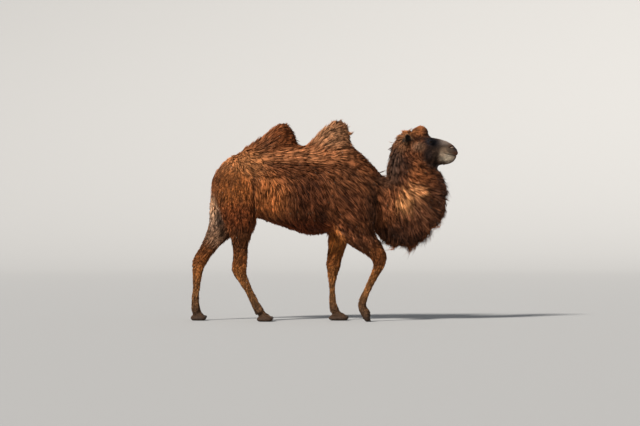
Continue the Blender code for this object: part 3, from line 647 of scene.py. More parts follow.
def joined_copy(nodes, name):
    """One object made from merged copies of the CAD nodes, each puffed a little so that they overlap."""
    deselect()
    copies = []
    for source in nodes:
        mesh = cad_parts[source].data.copy()
        mesh.materials.clear()
        form = bmesh.new()
        form.from_mesh(mesh)
        bmesh.ops.remove_doubles(form, verts=form.verts, dist=MERGE_DISTANCE)
        form.normal_update()
        for vert in form.verts:
            vert.co += vert.normal * PUFF
        form.to_mesh(mesh)
        form.free()
        copies.append(placed(name, mesh))
    for copy in copies:
        copy.select_set(True)
    bpy.context.view_layer.objects.active = copies[0]
    if len(copies) > 1:
        bpy.ops.object.join()
    return bpy.context.view_layer.objects.active


def read_array(items, name, width, kind=np.float32):
    """A mesh's values of one name as a numpy array, one row for each item."""
    out = np.empty(len(items) * width, dtype=kind)
    items.foreach_get(name, out)
    return out.reshape(-1, width)


def vertex_array(mesh):
    return read_array(mesh.vertices, "co", 3).astype(float)


def normal_array(mesh):
    return read_array(mesh.vertex_normals, "vector", 3).astype(float)


def put_vertices(mesh, points):
    mesh.vertices.foreach_set("co", points.ravel())
    mesh.update()


def largest_only(mesh):
    """Drops the loose islands that a voxel remesh can leave inside."""
    form = bmesh.new()
    form.from_mesh(mesh)
    left = set(form.verts)
    islands = []
    while left:
        stack = [left.pop()]
        island = list(stack)
        while stack:
            for edge in stack.pop().link_edges:
                fresh = [vert for vert in edge.verts if vert in left]
                left.difference_update(fresh)
                stack += fresh
                island += fresh
        islands.append(island)
    islands.sort(key=len)
    for island in islands[:-1]:
        bmesh.ops.delete(form, geom=island, context="VERTS")
    form.to_mesh(mesh)
    form.free()


def edit_where(obj, kind, items, chosen, act):
    """Selects the chosen items of a mesh and runs an edit-mode operator on them."""
    pick(obj)
    bpy.ops.object.mode_set(mode="EDIT")
    bpy.ops.mesh.select_mode(type=kind)
    bpy.ops.mesh.select_all(action="DESELECT")
    bpy.ops.object.mode_set(mode="OBJECT")
    items.foreach_set("select", chosen)
    bpy.ops.object.mode_set(mode="EDIT")
    act()
    bpy.ops.object.mode_set(mode="OBJECT")


def refine(obj, wanted):
    """Splits every face whose middle is wanted in four."""
    faces = obj.data.polygons
    chosen = wanted(read_array(faces, "center", 3))
    split = partial(bpy.ops.mesh.subdivide, number_cuts=1, smoothness=0.0, quadcorner="INNERVERT", ngon=False)
    edit_where(obj, "FACE", faces, chosen, split)


def thin(obj, wanted, ratio):
    """Collapses the mesh where the coat hides it."""
    chosen = wanted(vertex_array(obj.data))
    edit_where(obj, "VERT", obj.data.vertices, chosen, partial(bpy.ops.mesh.decimate, ratio=ratio))


def relax(mesh, passes, share):
    """Averages each vertex with its neighbours as far as share allows, in and out by turns, so that
    thin parts keep their girth."""
    count = len(mesh.vertices)
    a, b = read_array(mesh.edges, "vertices", 2, np.int64).T
    degree = np.bincount(a, minlength=count) + np.bincount(b, minlength=count)
    points = vertex_array(mesh)
    for turn in range(passes):
        factor = 0.5 if turn % 2 == 0 else -0.51
        total = np.zeros_like(points)
        for k in range(3):
            total[:, k] = np.bincount(a, points[b, k], count) + np.bincount(b, points[a, k], count)
        points += (total / degree[:, None] - points) * (factor * share)[:, None]
    put_vertices(mesh, points)


OUTLINE = "outline"
SINK_STEPS = 8


def sink(mesh, depth):
    """Moves the surface in by depth in small steps, smoothed between them so that ridges don't fold."""
    share = smooth_step(0.030, 0.055, depth)
    for _ in range(SINK_STEPS):
        put_vertices(mesh, vertex_array(mesh) - normal_array(mesh) * (depth / SINK_STEPS)[:, None])
        relax(mesh, 5, share)


def tell_attribute(mesh, name, values):
    """Stores one number or one colour for each vertex."""
    values = np.asarray(values, dtype=np.float32)
    if values.ndim == 1:
        mesh.attributes.new(name, "FLOAT", "POINT").data.foreach_set("value", values)
    else:
        full = np.concatenate([values, np.ones((len(values), 1), dtype=np.float32)], axis=1)
        mesh.attributes.new(name, "FLOAT_COLOR", "POINT").data.foreach_set("color", full.ravel())


# The head's own forms --------------------

# Lines on the side of the muzzle, as (x, z) from rear to front.
NOSTRIL = ((1.348, 1.862), (1.368, 1.874), (1.396, 1.880))
MOUTH = ((1.290, 1.802), (1.320, 1.790), (1.360, 1.780), (1.400, 1.776), (1.460, 1.774))
EYE_AXIS = Vector((0.38, 0.92, 0.06)).normalized()

# Swellings and hollows of the face: middle, reach each way, height.
FACE_LUMPS = {
    "brow": ((1.150, 0.105, 1.950), (0.045, 0.040, 0.014), 0.011),
    "under lid": ((1.140, 0.120, 1.880), (0.045, 0.040, 0.012), 0.005),
    "cheek bone": ((1.185, 0.090, 1.862), (0.070, 0.040, 0.014), 0.006),
    "before the eye": ((1.215, 0.080, 1.905), (0.030, 0.030, 0.028), -0.010),
    "side of the nose": ((1.270, 0.070, 1.860), (0.060, 0.030, 0.026), -0.006),
    "bridge": ((1.270, 0.0, 1.950), (0.100, 0.020, 0.030), 0.004),
    "upper lip": ((1.370, 0.060, 1.815), (0.050, 0.040, 0.020), 0.008),
    "lip front": ((1.430, 0.015, 1.805), (0.022, 0.030, 0.016), 0.007),
    "lower lip": ((1.415, 0.015, 1.748), (0.028, 0.035, 0.014), 0.009),
    "chin": ((1.330, 0.0, 1.695), (0.050, 0.040, 0.014), 0.006),
    "mouth corner": ((1.292, 0.070, 1.800), (0.016, 0.030, 0.014), -0.006),
    "jaw hollow": ((1.215, 0.060, 1.735), (0.050, 0.030, 0.026), -0.008),
    "jaw edge": ((1.210, 0.050, 1.690), (0.070, 0.030, 0.012), 0.005),
    "nostril wing": ((1.376, 0.050, 1.892), (0.030, 0.022, 0.008), 0.006),
    "nostril floor": ((1.372, 0.058, 1.856), (0.032, 0.024, 0.008), 0.006),
}


def distance_to_line(points, line):
    """How far each point is from a line on the side of the muzzle, seen from the side."""
    flat = points[:, (0, 2)]
    best = np.full(len(points), 9.0)
    for start, end in zip(line, line[1:]):
        start, end = np.array(start), np.array(end)
        way = end - start
        share = np.clip(((flat - start) @ way) / (way @ way), 0.0, 1.0)
        away = np.linalg.norm(flat - start - share[:, None] * way, axis=1)
        best = np.minimum(best, away)
    return best


NOSTRIL_WIDTH, MOUTH_WIDTH, CLEFT_WIDTH = 0.0050, 0.0045, 0.0045
NOSTRIL_DEPTH, MOUTH_DEPTH, CLEFT_DEPTH = 0.015, 0.011, 0.006


def crease_share(points):
    """For the nostrils and for the mouth's line: 1 in the bottom of the crease, 0 away from it."""
    side = np.abs(points[:, 1])
    nostril = np.exp(-((distance_to_line(points, NOSTRIL) / NOSTRIL_WIDTH) ** 2))
    mouth = np.exp(-((distance_to_line(points, MOUTH) / MOUTH_WIDTH) ** 2))
    return nostril * smooth_step(0.018, 0.028, side), mouth * smooth_step(1.26, 1.31, points[:, 0])


def face_forms(points, normals):
    """Pushes the skin in and out for brow, cheek, lips, nostrils and mouth. Returns the moved points."""
    folded = mirrored(points)
    x, y, z = points.T
    push = np.zeros(len(points))
    for place, reach, height in FACE_LUMPS.values():
        away = (((folded - np.array(place)) / np.array(reach)) ** 2).sum(axis=1)
        push += height * np.exp(-away)
    nostril, mouth = crease_share(points)
    push -= NOSTRIL_DEPTH * nostril + MOUTH_DEPTH * mouth * (0.6 + 0.4 * smooth_step(1.36, 1.42, x))
    cleft = np.exp(-((y / CLEFT_WIDTH) ** 2)) * smooth_step(1.385, 1.405, x)
    cleft *= smooth_step(1.775, 1.785, z) * smooth_step(1.885, 1.865, z)
    push -= CLEFT_DEPTH * cleft
    return points + normals * push[:, None]


def eye_frame(side):
    """Middle of an eyeball and its three directions: ahead, along the lids, and up."""
    centre = np.array((EYE_MIDDLE.x, side * EYE_MIDDLE.y, EYE_MIDDLE.z))
    axis = np.array((EYE_AXIS.x, side * EYE_AXIS.y, EYE_AXIS.z))
    along = np.cross(axis, np.array((0.0, 0.0, 1.0)))
    along /= np.linalg.norm(along)
    up = np.cross(along, axis)
    up *= np.sign(up[2])
    return centre, axis, along, up


# The lids open in an almond, in radii of the eyeball, about a line a little over its middle.
OPEN_ALONG = 0.84
OPEN_ABOVE = 0.36
OPEN_BELOW = 0.42
LID_LINE = 0.04
LID_RIM = 0.0022
LID_FOLD = 0.0030
SOCKET_REACH = 3.2


def set_lids(points, radius, lid):
    """Wraps the skin round each eyeball, open in an almond, with a rim that stands off the ball."""
    for side in (1, -1):
        centre, axis, along, up = eye_frame(side)
        rel = points - centre
        away = np.linalg.norm(rel, axis=1)
        ahead = rel @ axis
        across = (rel @ along) / radius
        height = (rel @ up) / radius
        near = (away < radius * (SOCKET_REACH + 0.4)) & (ahead > -radius * 1.2)
        flat = np.sqrt(across**2 + height**2)
        mound = 0.42 * radius * smooth_step(SOCKET_REACH, 1.2, flat)
        mound -= radius * 1.2 * smooth_step(1.2, SOCKET_REACH, flat)
        raised = np.maximum(ahead, mound)
        reach = np.where(height > LID_LINE, OPEN_ABOVE, OPEN_BELOW)
        opening = np.sqrt((across / OPEN_ALONG) ** 2 + ((height - LID_LINE) / reach) ** 2)
        inside = near & (opening < 1.0)
        dome = np.sqrt(np.maximum((radius + lid) ** 2 - (flat * radius) ** 2, 0.0))
        rim = np.exp(-(((opening - 1.12) / 0.18) ** 2)) * LID_RIM
        fold = np.exp(-(((opening - 2.1) / 0.30) ** 2)) * LID_FOLD
        blend = smooth_step(1.30, 0.85, flat)
        wanted = np.maximum(dome * blend + raised * (1 - blend), raised) + rim - fold
        points += axis * np.where(near & ~inside, wanted - ahead, 0.0)[:, None]
        points[inside] = centre + rel[inside] / away[inside, None] * (radius * 0.90)
    return points


# The ears --------------------

EAR_INSIDE = (0.022, 0.014, 0.010)
EAR_BACK = (0.170, 0.088, 0.045)
EAR_CUP = 0.010


def ear_place(points):
    """How far along the ear, across it and towards its opening each point lies."""
    local = mirrored(points) - EAR_ROOT
    across = np.cross(EAR_WAY, EAR_OPENS)
    return local @ EAR_WAY / EAR_LENGTH, local @ across, local @ EAR_OPENS


def ear_facing(points, normals):
    """How squarely each point faces the way its ear opens."""
    folded = normals.copy()
    folded[:, 1] *= np.sign(points[:, 1])
    return folded @ EAR_OPENS


def ear_hollow(points, normals):
    """1 in the dark hollow of either ear, 0 elsewhere."""
    along, across, _ = ear_place(points)
    facing = smooth_step(0.1, 0.5, ear_facing(points, normals))
    bowl = smooth_step(0.046, 0.032, np.abs(across))
    return facing * bowl * smooth_step(0.0, 0.2, along) * smooth_step(1.0, 0.8, along) * ear_share(points)


def cupped_ears(points, normals):
    """Hollows the side of each ear that opens forward and outward."""
    side = np.where(points[:, 1] > 0, 1.0, -1.0)
    along, across, _ = ear_place(points)
    facing = smooth_step(0.1, 0.6, ear_facing(points, normals))
    bowl = np.clip(1.0 - (across / 0.040) ** 2, 0.0, 1.0) * smooth_step(0.97, 0.70, along)
    depth = EAR_CUP * facing * bowl * ear_share(points)
    mirror = np.stack([np.ones_like(side), side, np.ones_like(side)], axis=1)
    return points - EAR_OPENS * mirror * depth[:, None]


# Parts of the skin --------------------


def head_share(points):
    return smooth_step(0.95, 1.10, points[:, 0]) * smooth_step(1.58, 1.66, points[:, 2])


def foot_share(points):
    return smooth_step(0.20, 0.10, points[:, 2])


def crisp_share(points):
    """How far head, feet and ears are kept from being smoothed away."""
    return np.maximum(0.6 * head_share(points) + 0.7 * foot_share(points), 0.85 * ear_share(points))


def under_long_wool(points):
    """True where the coat is so long that the skin is never seen."""
    x, _, z = points.T
    body = (z > 0.80) & (x < 0.86)
    beard = (x > 0.6) & (z < 1.60)
    crown = (x < 0.86) & (z >= 1.60)
    return (body | beard | crown) & (ear_share(points) < 0.05)


def on_shanks(points):
    return (points[:, 2] > 0.16) & (points[:, 2] < 0.80)


def on_ears(centres):
    return ear_share(centres) > 0.3


def on_face(centres):
    return (centres[:, 0] > 1.07) & (centres[:, 2] > 1.62)


def near_features(centres):
    """True round the eyes and along the nostrils and the mouth."""
    folded = mirrored(centres)
    eye = np.linalg.norm(folded - np.array(EYE_MIDDLE), axis=1) < 0.046
    lines = np.minimum(distance_to_line(folded, NOSTRIL), distance_to_line(folded, MOUTH))
    return eye | ((lines < 0.016) & (folded[:, 0] > 1.27) & (folded[:, 2] > 1.7))


# Operators --------------------

SHANK_MESH_KEPT = 0.45
# Painted shade under the coat: how light the skin is kept, by the coat's depth, darker where the coat is
# deeper.
PAINTED_SHADE_DEPTHS = (0.0015, 0.005, 0.012, 0.040)
PAINTED_SHADE_LIGHTNESS = (0.90, 0.68, 0.50, 0.30)


def skin_form(obj, sizes):
    """Sinks the melted flesh under the coat, and gives it a fine mesh only where it is seen."""
    largest_only(obj.data)
    points = vertex_array(obj.data)
    relax(obj.data, sizes.smoothing, 1.0 - crisp_share(points))
    _, size = lie_of_coat(vertex_array(obj.data))
    obj.data.copy().name = OUTLINE
    sink(obj.data, size[:, 1])
    thin(obj, under_long_wool, sizes.thinning)
    thin(obj, on_shanks, SHANK_MESH_KEPT)
    relax(obj.data, 4, 1.0 - crisp_share(vertex_array(obj.data)))
    refine(obj, on_ears)
    refine(obj, on_face)
    relax(obj.data, 3, head_share(vertex_array(obj.data)))
    refine(obj, near_features)
    relax(obj.data, 2, head_share(vertex_array(obj.data)))


def colour_skin(mesh):
    """Stores the markings, and the painted shade that darkens the skin under the wool and in the creases of
    the muzzle: the nostrils and the mouth's line.
    """
    points = vertex_array(mesh)
    nostril, mouth = crease_share(points)
    on_muzzle = head_share(points) * (points[:, 0] > 1.25)
    _, size = lie_of_coat(points)
    # Painted shade: the deeper the coat, the darker the skin under it.
    under = np.interp(size[:, 1], PAINTED_SHADE_DEPTHS, PAINTED_SHADE_LIGHTNESS)
    # Painted shade in the nostrils and along the mouth's line on the muzzle.
    under *= 1.0 - 0.9 * np.clip(nostril + 0.8 * mouth, 0, 1) * on_muzzle
    tell_attribute(mesh, "tint", coat_tint(points, normal_array(mesh)))
    tell_attribute(mesh, "under", under)


class CAMEL_OT_skin(bpy.types.Operator):
    """Melts the flesh nodes into one skin under the coat, and models the head and ears on it"""

    bl_idname = "camel.skin"
    bl_label = "Skin"

    def execute(self, context):
        sizes = context.scene.camel_skin
        obj = joined_copy(FLESH + list(EYES + EARS) + NAILS, "skin")
        apply_modifier(obj, "REMESH", mode="VOXEL", voxel_size=sizes.voxel)
        skin_form(obj, sizes)
        mesh = obj.data
        points = face_forms(vertex_array(mesh), normal_array(mesh))
        put_vertices(mesh, set_lids(points, sizes.eye_radius, sizes.lid))
        put_vertices(mesh, cupped_ears(vertex_array(mesh), normal_array(mesh)))
        mesh.polygons.foreach_set("use_smooth", [True] * len(mesh.polygons))
        colour_skin(mesh)
        mesh.materials.clear()
        mesh.materials.append(skin_material())
        finish_piece(obj, "skin", FLESH + list(EARS))
        return {"FINISHED"}


# The eye bulges in front, within this cosine of its axis.
BULGE_START = 0.75
BULGE_HEIGHT = 0.9


class CAMEL_OT_eyes(bpy.types.Operator):
    """Models both eyeballs, with a clear bulge in front"""

    bl_idname = "camel.eyes"
    bl_label = "Eyes"

    def execute(self, context):
        radius = context.scene.camel_skin.eye_radius
        material = eye_material(context.scene.camel_colours.iris)
        for name, side in zip(EYES, (1, -1)):
            deselect()
            place = (EYE_MIDDLE.x, side * EYE_MIDDLE.y, EYE_MIDDLE.z)
            bpy.ops.mesh.primitive_uv_sphere_add(segments=48, ring_count=32, radius=radius, location=place)
            obj = bpy.context.active_object
            bpy.ops.object.transform_apply(location=True, rotation=True, scale=True)
            axis = Vector((EYE_AXIS.x, side * EYE_AXIS.y, EYE_AXIS.z))
            for vert in obj.data.vertices:
                ahead = (vert.co - Vector(place)).normalized().dot(axis)
                vert.co += axis * (max(0.0, ahead - BULGE_START) ** 1.5 * radius * BULGE_HEIGHT)
            bpy.ops.object.shade_smooth()
            obj.data.materials.append(material)
            finish_piece(obj, name.replace("eye", "eyeball"), [name])
        return {"FINISHED"}


# The nails are long and flat, slope down to the front and lie back in the toes.
NAIL_STRETCH = np.array((1.15, 0.95, 0.72))
NAIL_SLOPE = 0.55
NAIL_SHIFT = np.array((-0.004, 0.0, -0.004))


class CAMEL_OT_nails(bpy.types.Operator):
    """Finishes the horny nails of the toes"""

    bl_idname = "camel.nails"
    bl_label = "Nails"

    def execute(self, context):
        material = horn_material(context.scene.camel_colours.horn)
        for name in NAILS:
            obj = joined_copy([name], name)
            apply_modifier(obj, "SUBSURF", levels=2, render_levels=2)
            points = vertex_array(obj.data)
            local = points - points.mean(axis=0)
            shaped = local * NAIL_STRETCH
            shaped[:, 2] -= NAIL_SLOPE * local[:, 0]
            put_vertices(obj.data, points - local + shaped + NAIL_SHIFT)
            bpy.ops.object.shade_smooth()
            obj.data.materials.append(material)
            finish_piece(obj, name.replace("nail", "toenail"), [name])
        return {"FINISHED"}


# The coat --------------------

BAKE_PATCH = 0.003  # side of each lock's patch on the map for baking
BAKE_EDGE = 0.004
LOCKS_PER_CLUMP = 7
FLOOR_CLEARANCE = 0.002
LONG_PROFILE = (0.75, 1.0, 0.70)
SHORT_PROFILE = (0.90, 0.75)
FLATNESS = 0.55  # of a lock's triangular section
CORNERS = (210.0, 330.0, 90.0)
# How far past its usual depth the coat may reach for the outline: less far where it is deepest.
DEEP_COAT = (0.055, 0.085)
DEEP_REACH = (2.4, 1.0)
SHORT_COAT = 0.013
FLYAWAYS = 0.03  # share of thin locks that stand free
# Spread of the locks' length, rise, half width and stand, and of how far out they end.
LENGTH_SPREAD = (0.62, 1.22)
RISE_SPREAD = (0.7, 1.1)
WIDTH_SPREAD = (0.7, 1.3)
STAND_SPREAD = (0.75, 1.15)
END_SPREAD = (0.92, 1.06)
LEAN_SPREAD = 0.13
ROOT_DEPTH = 0.003  # of a lock's root in the skin
STRAY = 0.16
SWIRL_CELL = 0.07  # size of the areas whose locks stray the same way
SWIRL_SHIFTS = (0.0, 7.0, 13.0)
WAVE_FORWARD, WAVE_UP = 2.6, 1.9  # turns of the shared wave in a metre
LONG_LOCK = 0.09
FINE_STREAK, BROAD_STREAK, STREAK_STEPS = 0.012, 0.036, 6
SCATTER_FACTORS = (73856093, 19349663, 83492791, 1274126177)
# How far locks differ in shade, by their length.
VARY_LENGTHS = (0.008, 0.015, 0.028, LONG_LOCK)
VARY_SHADES = (0.24, 0.30, 0.42, 0.50)


class Skin:
    """A mesh's triangles, ready to be sampled and asked for the nearest place."""

    def __init__(self, mesh):
        mesh.calc_loop_triangles()
        self.points = vertex_array(mesh)
        self.corners = read_array(mesh.loop_triangles, "vertices", 3, np.int32)
        self.normals = normal_array(mesh)
        a, b, c = (self.points[self.corners[:, k]] for k in range(3))
        facing = np.cross(b - a, c - a)
        self.areas = np.linalg.norm(facing, axis=1) / 2
        self.facing = unit(facing)
        self.centres = (a + b + c) / 3
        self.ask = BVHTree.FromPolygons(self.points.tolist(), self.corners.tolist()).find_nearest

    def sample(self, weights, count, rng):
        """Evenly spread places with a chance in step with weights. Returns places and normals."""
        edges = np.cumsum(self.areas * weights)
        marks = (np.arange(count) + rng.random(count)) / count * edges[-1]
        picked = np.minimum(np.searchsorted(edges, marks), len(edges) - 1)
        u = np.sqrt(rng.random(count))
        v = rng.random(count)
        mix = np.stack([1 - u, u * (1 - v), u * v], axis=1)[:, :, None]
        corners = self.corners[picked]
        return (self.points[corners] * mix).sum(axis=1), unit((self.normals[corners] * mix).sum(axis=1))

    def nearest(self, points):
        found = np.empty_like(points)
        normals = np.empty_like(points)
        for k, point in enumerate(points.tolist()):
            found[k], normals[k], _, _ = self.ask(point)
        return found, normals

    def gap(self, points):
        """How far each point is from this mesh."""
        return np.array([self.ask(point)[3] for point in points.tolist()])


def coat_room(outline, places, depth):
    """How thick the coat is over places on the skin: up to the outline where it is long."""
    most = np.interp(depth, DEEP_COAT, DEEP_REACH)
    room = np.clip(outline.gap(places), depth * 0.8, depth * most)
    return np.where(depth < SHORT_COAT, depth, room)


def flattened(ways, normals):
    """The ways without the part that points out of the surface."""
    return ways - normals * (ways * normals).sum(axis=1, keepdims=True)


def spines(skin, outline, roots, normals, rings, rng, flow, owner):
    """The middle line of every lock: laid on the skin at the coat's depth, or standing free of it.
    Flow is each place's streak, which lifts whole streaks of the coat over their neighbours.
    Owner is the leader of each lock's clump, and a clump's locks end about as far out."""
    _, size = lie_of_coat(roots)
    count = len(roots)
    flyaway = rng.random(count) < FLYAWAYS
    alike = 0.3 + 0.7 * size[:, 4]
    longer = rng.uniform(*LENGTH_SPREAD, count)
    length = size[:, 0] * (longer[owner] * alike + longer * (1 - alike))
    relief = rng.uniform(*RISE_SPREAD, count) * np.clip(0.85 + 0.28 * flow, 0.35, 1.4)
    stand = size[:, 4] * rng.uniform(*STAND_SPREAD, count)[owner] + 0.12 * flyaway
    stand = np.clip(stand, 0, 1)[:, None]
    width = size[:, 3] * rng.uniform(*WIDTH_SPREAD, count) * np.where(flyaway, 0.6, 1.0)
    reach = (0.48 + 0.62 * rng.random(count) ** 1.6)[owner] * rng.uniform(*END_SPREAD, count)
    reach *= np.where(flyaway, 1.15, 1.0)
    lean = rng.normal(0.0, LEAN_SPREAD, (count, 3))[owner]
    shared = np.stack([scatter(roots + shift, SWIRL_CELL) - 0.5 for shift in SWIRL_SHIFTS], axis=1)
    swirl = (rng.normal(0.0, 0.4, (count, 3)) + 2.2 * shared) * STRAY * (1 - 0.6 * stand)
    spot = roots - normals * ROOT_DEPTH
    height = np.zeros((count, 1))
    line, outs = [spot], [normals]
    here, normal = roots, normals
    step = (length / rings)[:, None]
    for ring in range(1, rings + 1):
        way, local = lie_of_coat(here)
        room = coat_room(outline, here, local[:, 1])
        leaving = smooth_step(0.15, 0.65, (way * normal).sum(axis=1)) * local[:, 4]
        loose = np.maximum(stand, leaving[:, None])
        flat = unit(flattened(way + swirl, normal))
        free = unit(way + swirl * 0.3 + lean + normal * 0.10)
        free = free + normal * np.maximum(0.0, 0.10 - (free * normal).sum(axis=1, keepdims=True))
        ahead = unit(flat * (1 - loose) + free * loose)
        guess = spot + ahead * step
        place, found = skin.nearest(guess)
        above = ((guess - place) * found).sum(axis=1, keepdims=True)
        # Free locks stop at their share of the room, laid ones keep their length.
        limit = (room * reach)[:, None]
        left = np.clip((limit - height) / np.maximum(above - height, 1e-4), 0.02, 1.0)
        left = np.where(above > limit, 1 - (1 - left) * loose, 1.0)
        guess = spot + ahead * step * left
        here = here + (place - here) * left
        above = height + (above - height) * left
        normal = unit(found + normal)
        wanted = (room * relief * (ring / rings) ** 0.8)[:, None]
        sunk = np.maximum(0.0, wanted * 0.3 - above)
        spot = (here + normal * wanted) * (1 - loose) + (guess + normal * sunk) * loose
        height = wanted * (1 - loose) + (above + sunk) * loose
        line.append(spot)
        outs.append(normal)
    outs = np.stack(outs, axis=1)
    return curled(np.stack(line, axis=1), outs, roots, size, rng), outs, width


def curled(line, outs, roots, size, rng):
    """The locks' lines at even steps, with a wave from side to side that neighbours share."""
    line, length = evenly_spaced(line)
    count, rings = len(line), line.shape[1] - 1
    side = unit(np.cross(unit(line[:, -1] - line[:, 0]), outs[:, 1]))
    wave = math.tau * (WAVE_FORWARD * roots[:, 0] + WAVE_UP * roots[:, 2]) + rng.normal(0.0, 0.6, count)
    phase = np.where(size[:, 0] < LONG_LOCK, rng.uniform(0, math.tau, count), wave)
    turns = rng.uniform(0.5, 0.9, count)
    curl = size[:, 2] * length * 0.10
    for ring in range(1, rings + 1):
        share = ring / rings
        swing = np.sin(phase + math.tau * turns * share) * curl * share
        line[:, ring] += side * swing[:, None]
    even = (line[:, :-2] + line[:, 2:]) / 2
    line[:, 1:-1] = line[:, 1:-1] * 0.6 + even * 0.4
    line[:, :, 2] = np.maximum(line[:, :, 2], FLOOR_CLEARANCE)
    return line


def evenly_spaced(line):
    """The same lines with their points at even steps. Returns them and their lengths."""
    parts = np.linalg.norm(line[:, 1:] - line[:, :-1], axis=2)
    marks = np.concatenate([np.zeros((len(line), 1)), np.cumsum(parts, axis=1)], axis=1)
    total = marks[:, -1]
    rings = parts.shape[1]
    rows = np.arange(len(line))
    out = line.copy()
    for ring in range(1, rings):
        wanted = total * ring / rings
        part = np.minimum((marks[:, 1:] < wanted[:, None]).sum(axis=1), rings - 1)
        share = (wanted - marks[rows, part]) / np.maximum(parts[rows, part], 1e-9)
        low, high = line[rows, part], line[rows, part + 1]
        out[:, ring] = low + (high - low) * share[:, None]
    return out, total


def clump_leaders(roots, rng):
    """For each lock, the number of the lock that leads its clump."""
    count = len(roots)
    leaders = rng.permutation(count)[: max(1, count // LOCKS_PER_CLUMP)]
    tree = kdtree.KDTree(len(leaders))
    for index, leader in enumerate(leaders):
        tree.insert(roots[leader].tolist(), index)
    tree.balance()
    return np.array([leaders[tree.find(root)[1]] for root in roots.tolist()])


def drawn_together(line, normals, owner, strength, rng):
    """Draws the tips of a clump's locks towards the tip of its leader, where both face the same way."""
    rings = line.shape[1] - 1
    far = np.linalg.norm(line[owner, 0] - line[:, 0], axis=1)
    alike = smooth_step(0.3, 0.8, (normals[owner] * normals).sum(axis=1))
    held = strength * alike * smooth_step(0.08, 0.03, far) * rng.uniform(0.6, 1.0, len(line))
    led = line[owner]
    for ring in range(1, rings + 1):
        pull = (held * (ring / rings) ** 1.3)[:, None]
        line[:, ring] += (led[:, ring] - line[:, ring]) * pull
    return line


def scatter(points, cell):
    """A fixed random number from 0 to 1 for the cell that each point lies in."""
    i, j, k = np.floor(points / cell).astype(np.int64).T
    first, second, third, last = SCATTER_FACTORS
    mixed = (i * first) ^ (j * second) ^ (k * third)
    mixed = (mixed ^ (mixed >> 13)) * last
    return ((mixed ^ (mixed >> 16)) & 0xFFFF) / 65535.0


def streaks(skin, roots, normals, reach):
    """A shade for each lock that runs in streaks along the lie of the coat."""
    here, normal = roots, normals
    fine = np.zeros(len(roots))
    broad = np.zeros(len(roots))
    for _ in range(STREAK_STEPS):
        fine += scatter(here, FINE_STREAK)
        broad += scatter(here, BROAD_STREAK)
        way, _ = lie_of_coat(here)
        here, normal = skin.nearest(here + unit(flattened(way, normal)) * reach[:, None])
    return 0.7 * (fine - fine.mean()) / fine.std() + 0.7 * (broad - broad.mean()) / broad.std()


def turn_share(across, ahead):
    """The angle round a part, as a share of a whole turn."""
    return np.arctan2(across, ahead) / math.tau + 0.5


def head_side(points):
    """True above the slanting plane behind the jaw."""
    return points[:, 2] - 1.70 + (points[:, 0] - 1.00) * 0.445 > 0


def unwrap(points):
    """A flat map of the skin's own shape: round each part and along it. Returns places on the map."""
    x, y, z = points.T
    owner = leg_names(points)
    legs = leg_share(points) > 0.5
    head = head_side(points)
    neck = (~head) & (~legs) & (x > 0.60)
    slope = np.interp(z, [0.8, 1.3, 2.0], [0.95, 0.90, 0.86])
    u = np.where(neck, z, x)
    v = np.where(neck, turn_share(y, slope - x), turn_share(y, z - 1.38))
    v = np.where(head, turn_share(y, z - 1.80), v)
    for index, line in enumerate(LEG_LINES.values()):
        mine = legs & (owner == index)
        u[mine] = z[mine]
        ahead = x[mine] - leg_axis(line, z[mine])
        v[mine] = (turn_share(np.abs(y[mine]) - 0.17, ahead) + (y[mine] > 0)) / 2
    ears = ear_share(points) > 0.5
    along, across, towards = ear_place(points)
    u = np.where(ears, along, u)
    v = np.where(ears, (turn_share(across, towards) + (y > 0)) / 2, v)
    return np.stack([fitted_span(u), fitted_span(v)], axis=1)


def fitted_span(values):
    """Stretches the values over a map's side, with room for half a patch at each end."""
    low, high = values.min(), values.max()
    return BAKE_EDGE + (1 - 2 * BAKE_EDGE) * (values - low) / max(high - low, 1e-9)


def lock_faces(rings):
    """The four-sided and the three-sided faces of one lock, by the numbers of its corners."""
    quads = []
    for low in range(0, 3 * (rings - 1), 3):
        for k in range(3):
            nxt = (k + 1) % 3
            quads.append((low + k, low + nxt, low + 3 + nxt, low + 3 + k))
    last = 3 * (rings - 1)
    tris = [(last + k, last + (k + 1) % 3, last + 3) for k in range(3)] + [(2, 1, 0)]
    return quads, tris


def lock_corners(line, outs, width):
    """The corners of three-sided locks that taper to a point, one lock along each line."""
    rings = line.shape[1] - 1
    steps = np.empty_like(line)
    steps[:, 1:-1] = line[:, 2:] - line[:, :-2]
    steps[:, 0] = line[:, 1] - line[:, 0]
    profile = LONG_PROFILE if rings > 2 else SHORT_PROFILE
    corners = []
    for ring in range(rings):
        ahead = unit(steps[:, ring])
        side = unit(np.cross(ahead, outs[:, ring]))
        up = np.cross(side, ahead)
        reach = (width * profile[ring])[:, None]
        for angle in map(math.radians, CORNERS):
            across, rise = math.cos(angle), FLATNESS * math.sin(angle)
            corners.append(line[:, ring] + side * reach * across + up * reach * rise)
    corners.append(line[:, rings])
    return np.stack(corners, axis=1).reshape(-1, 3)


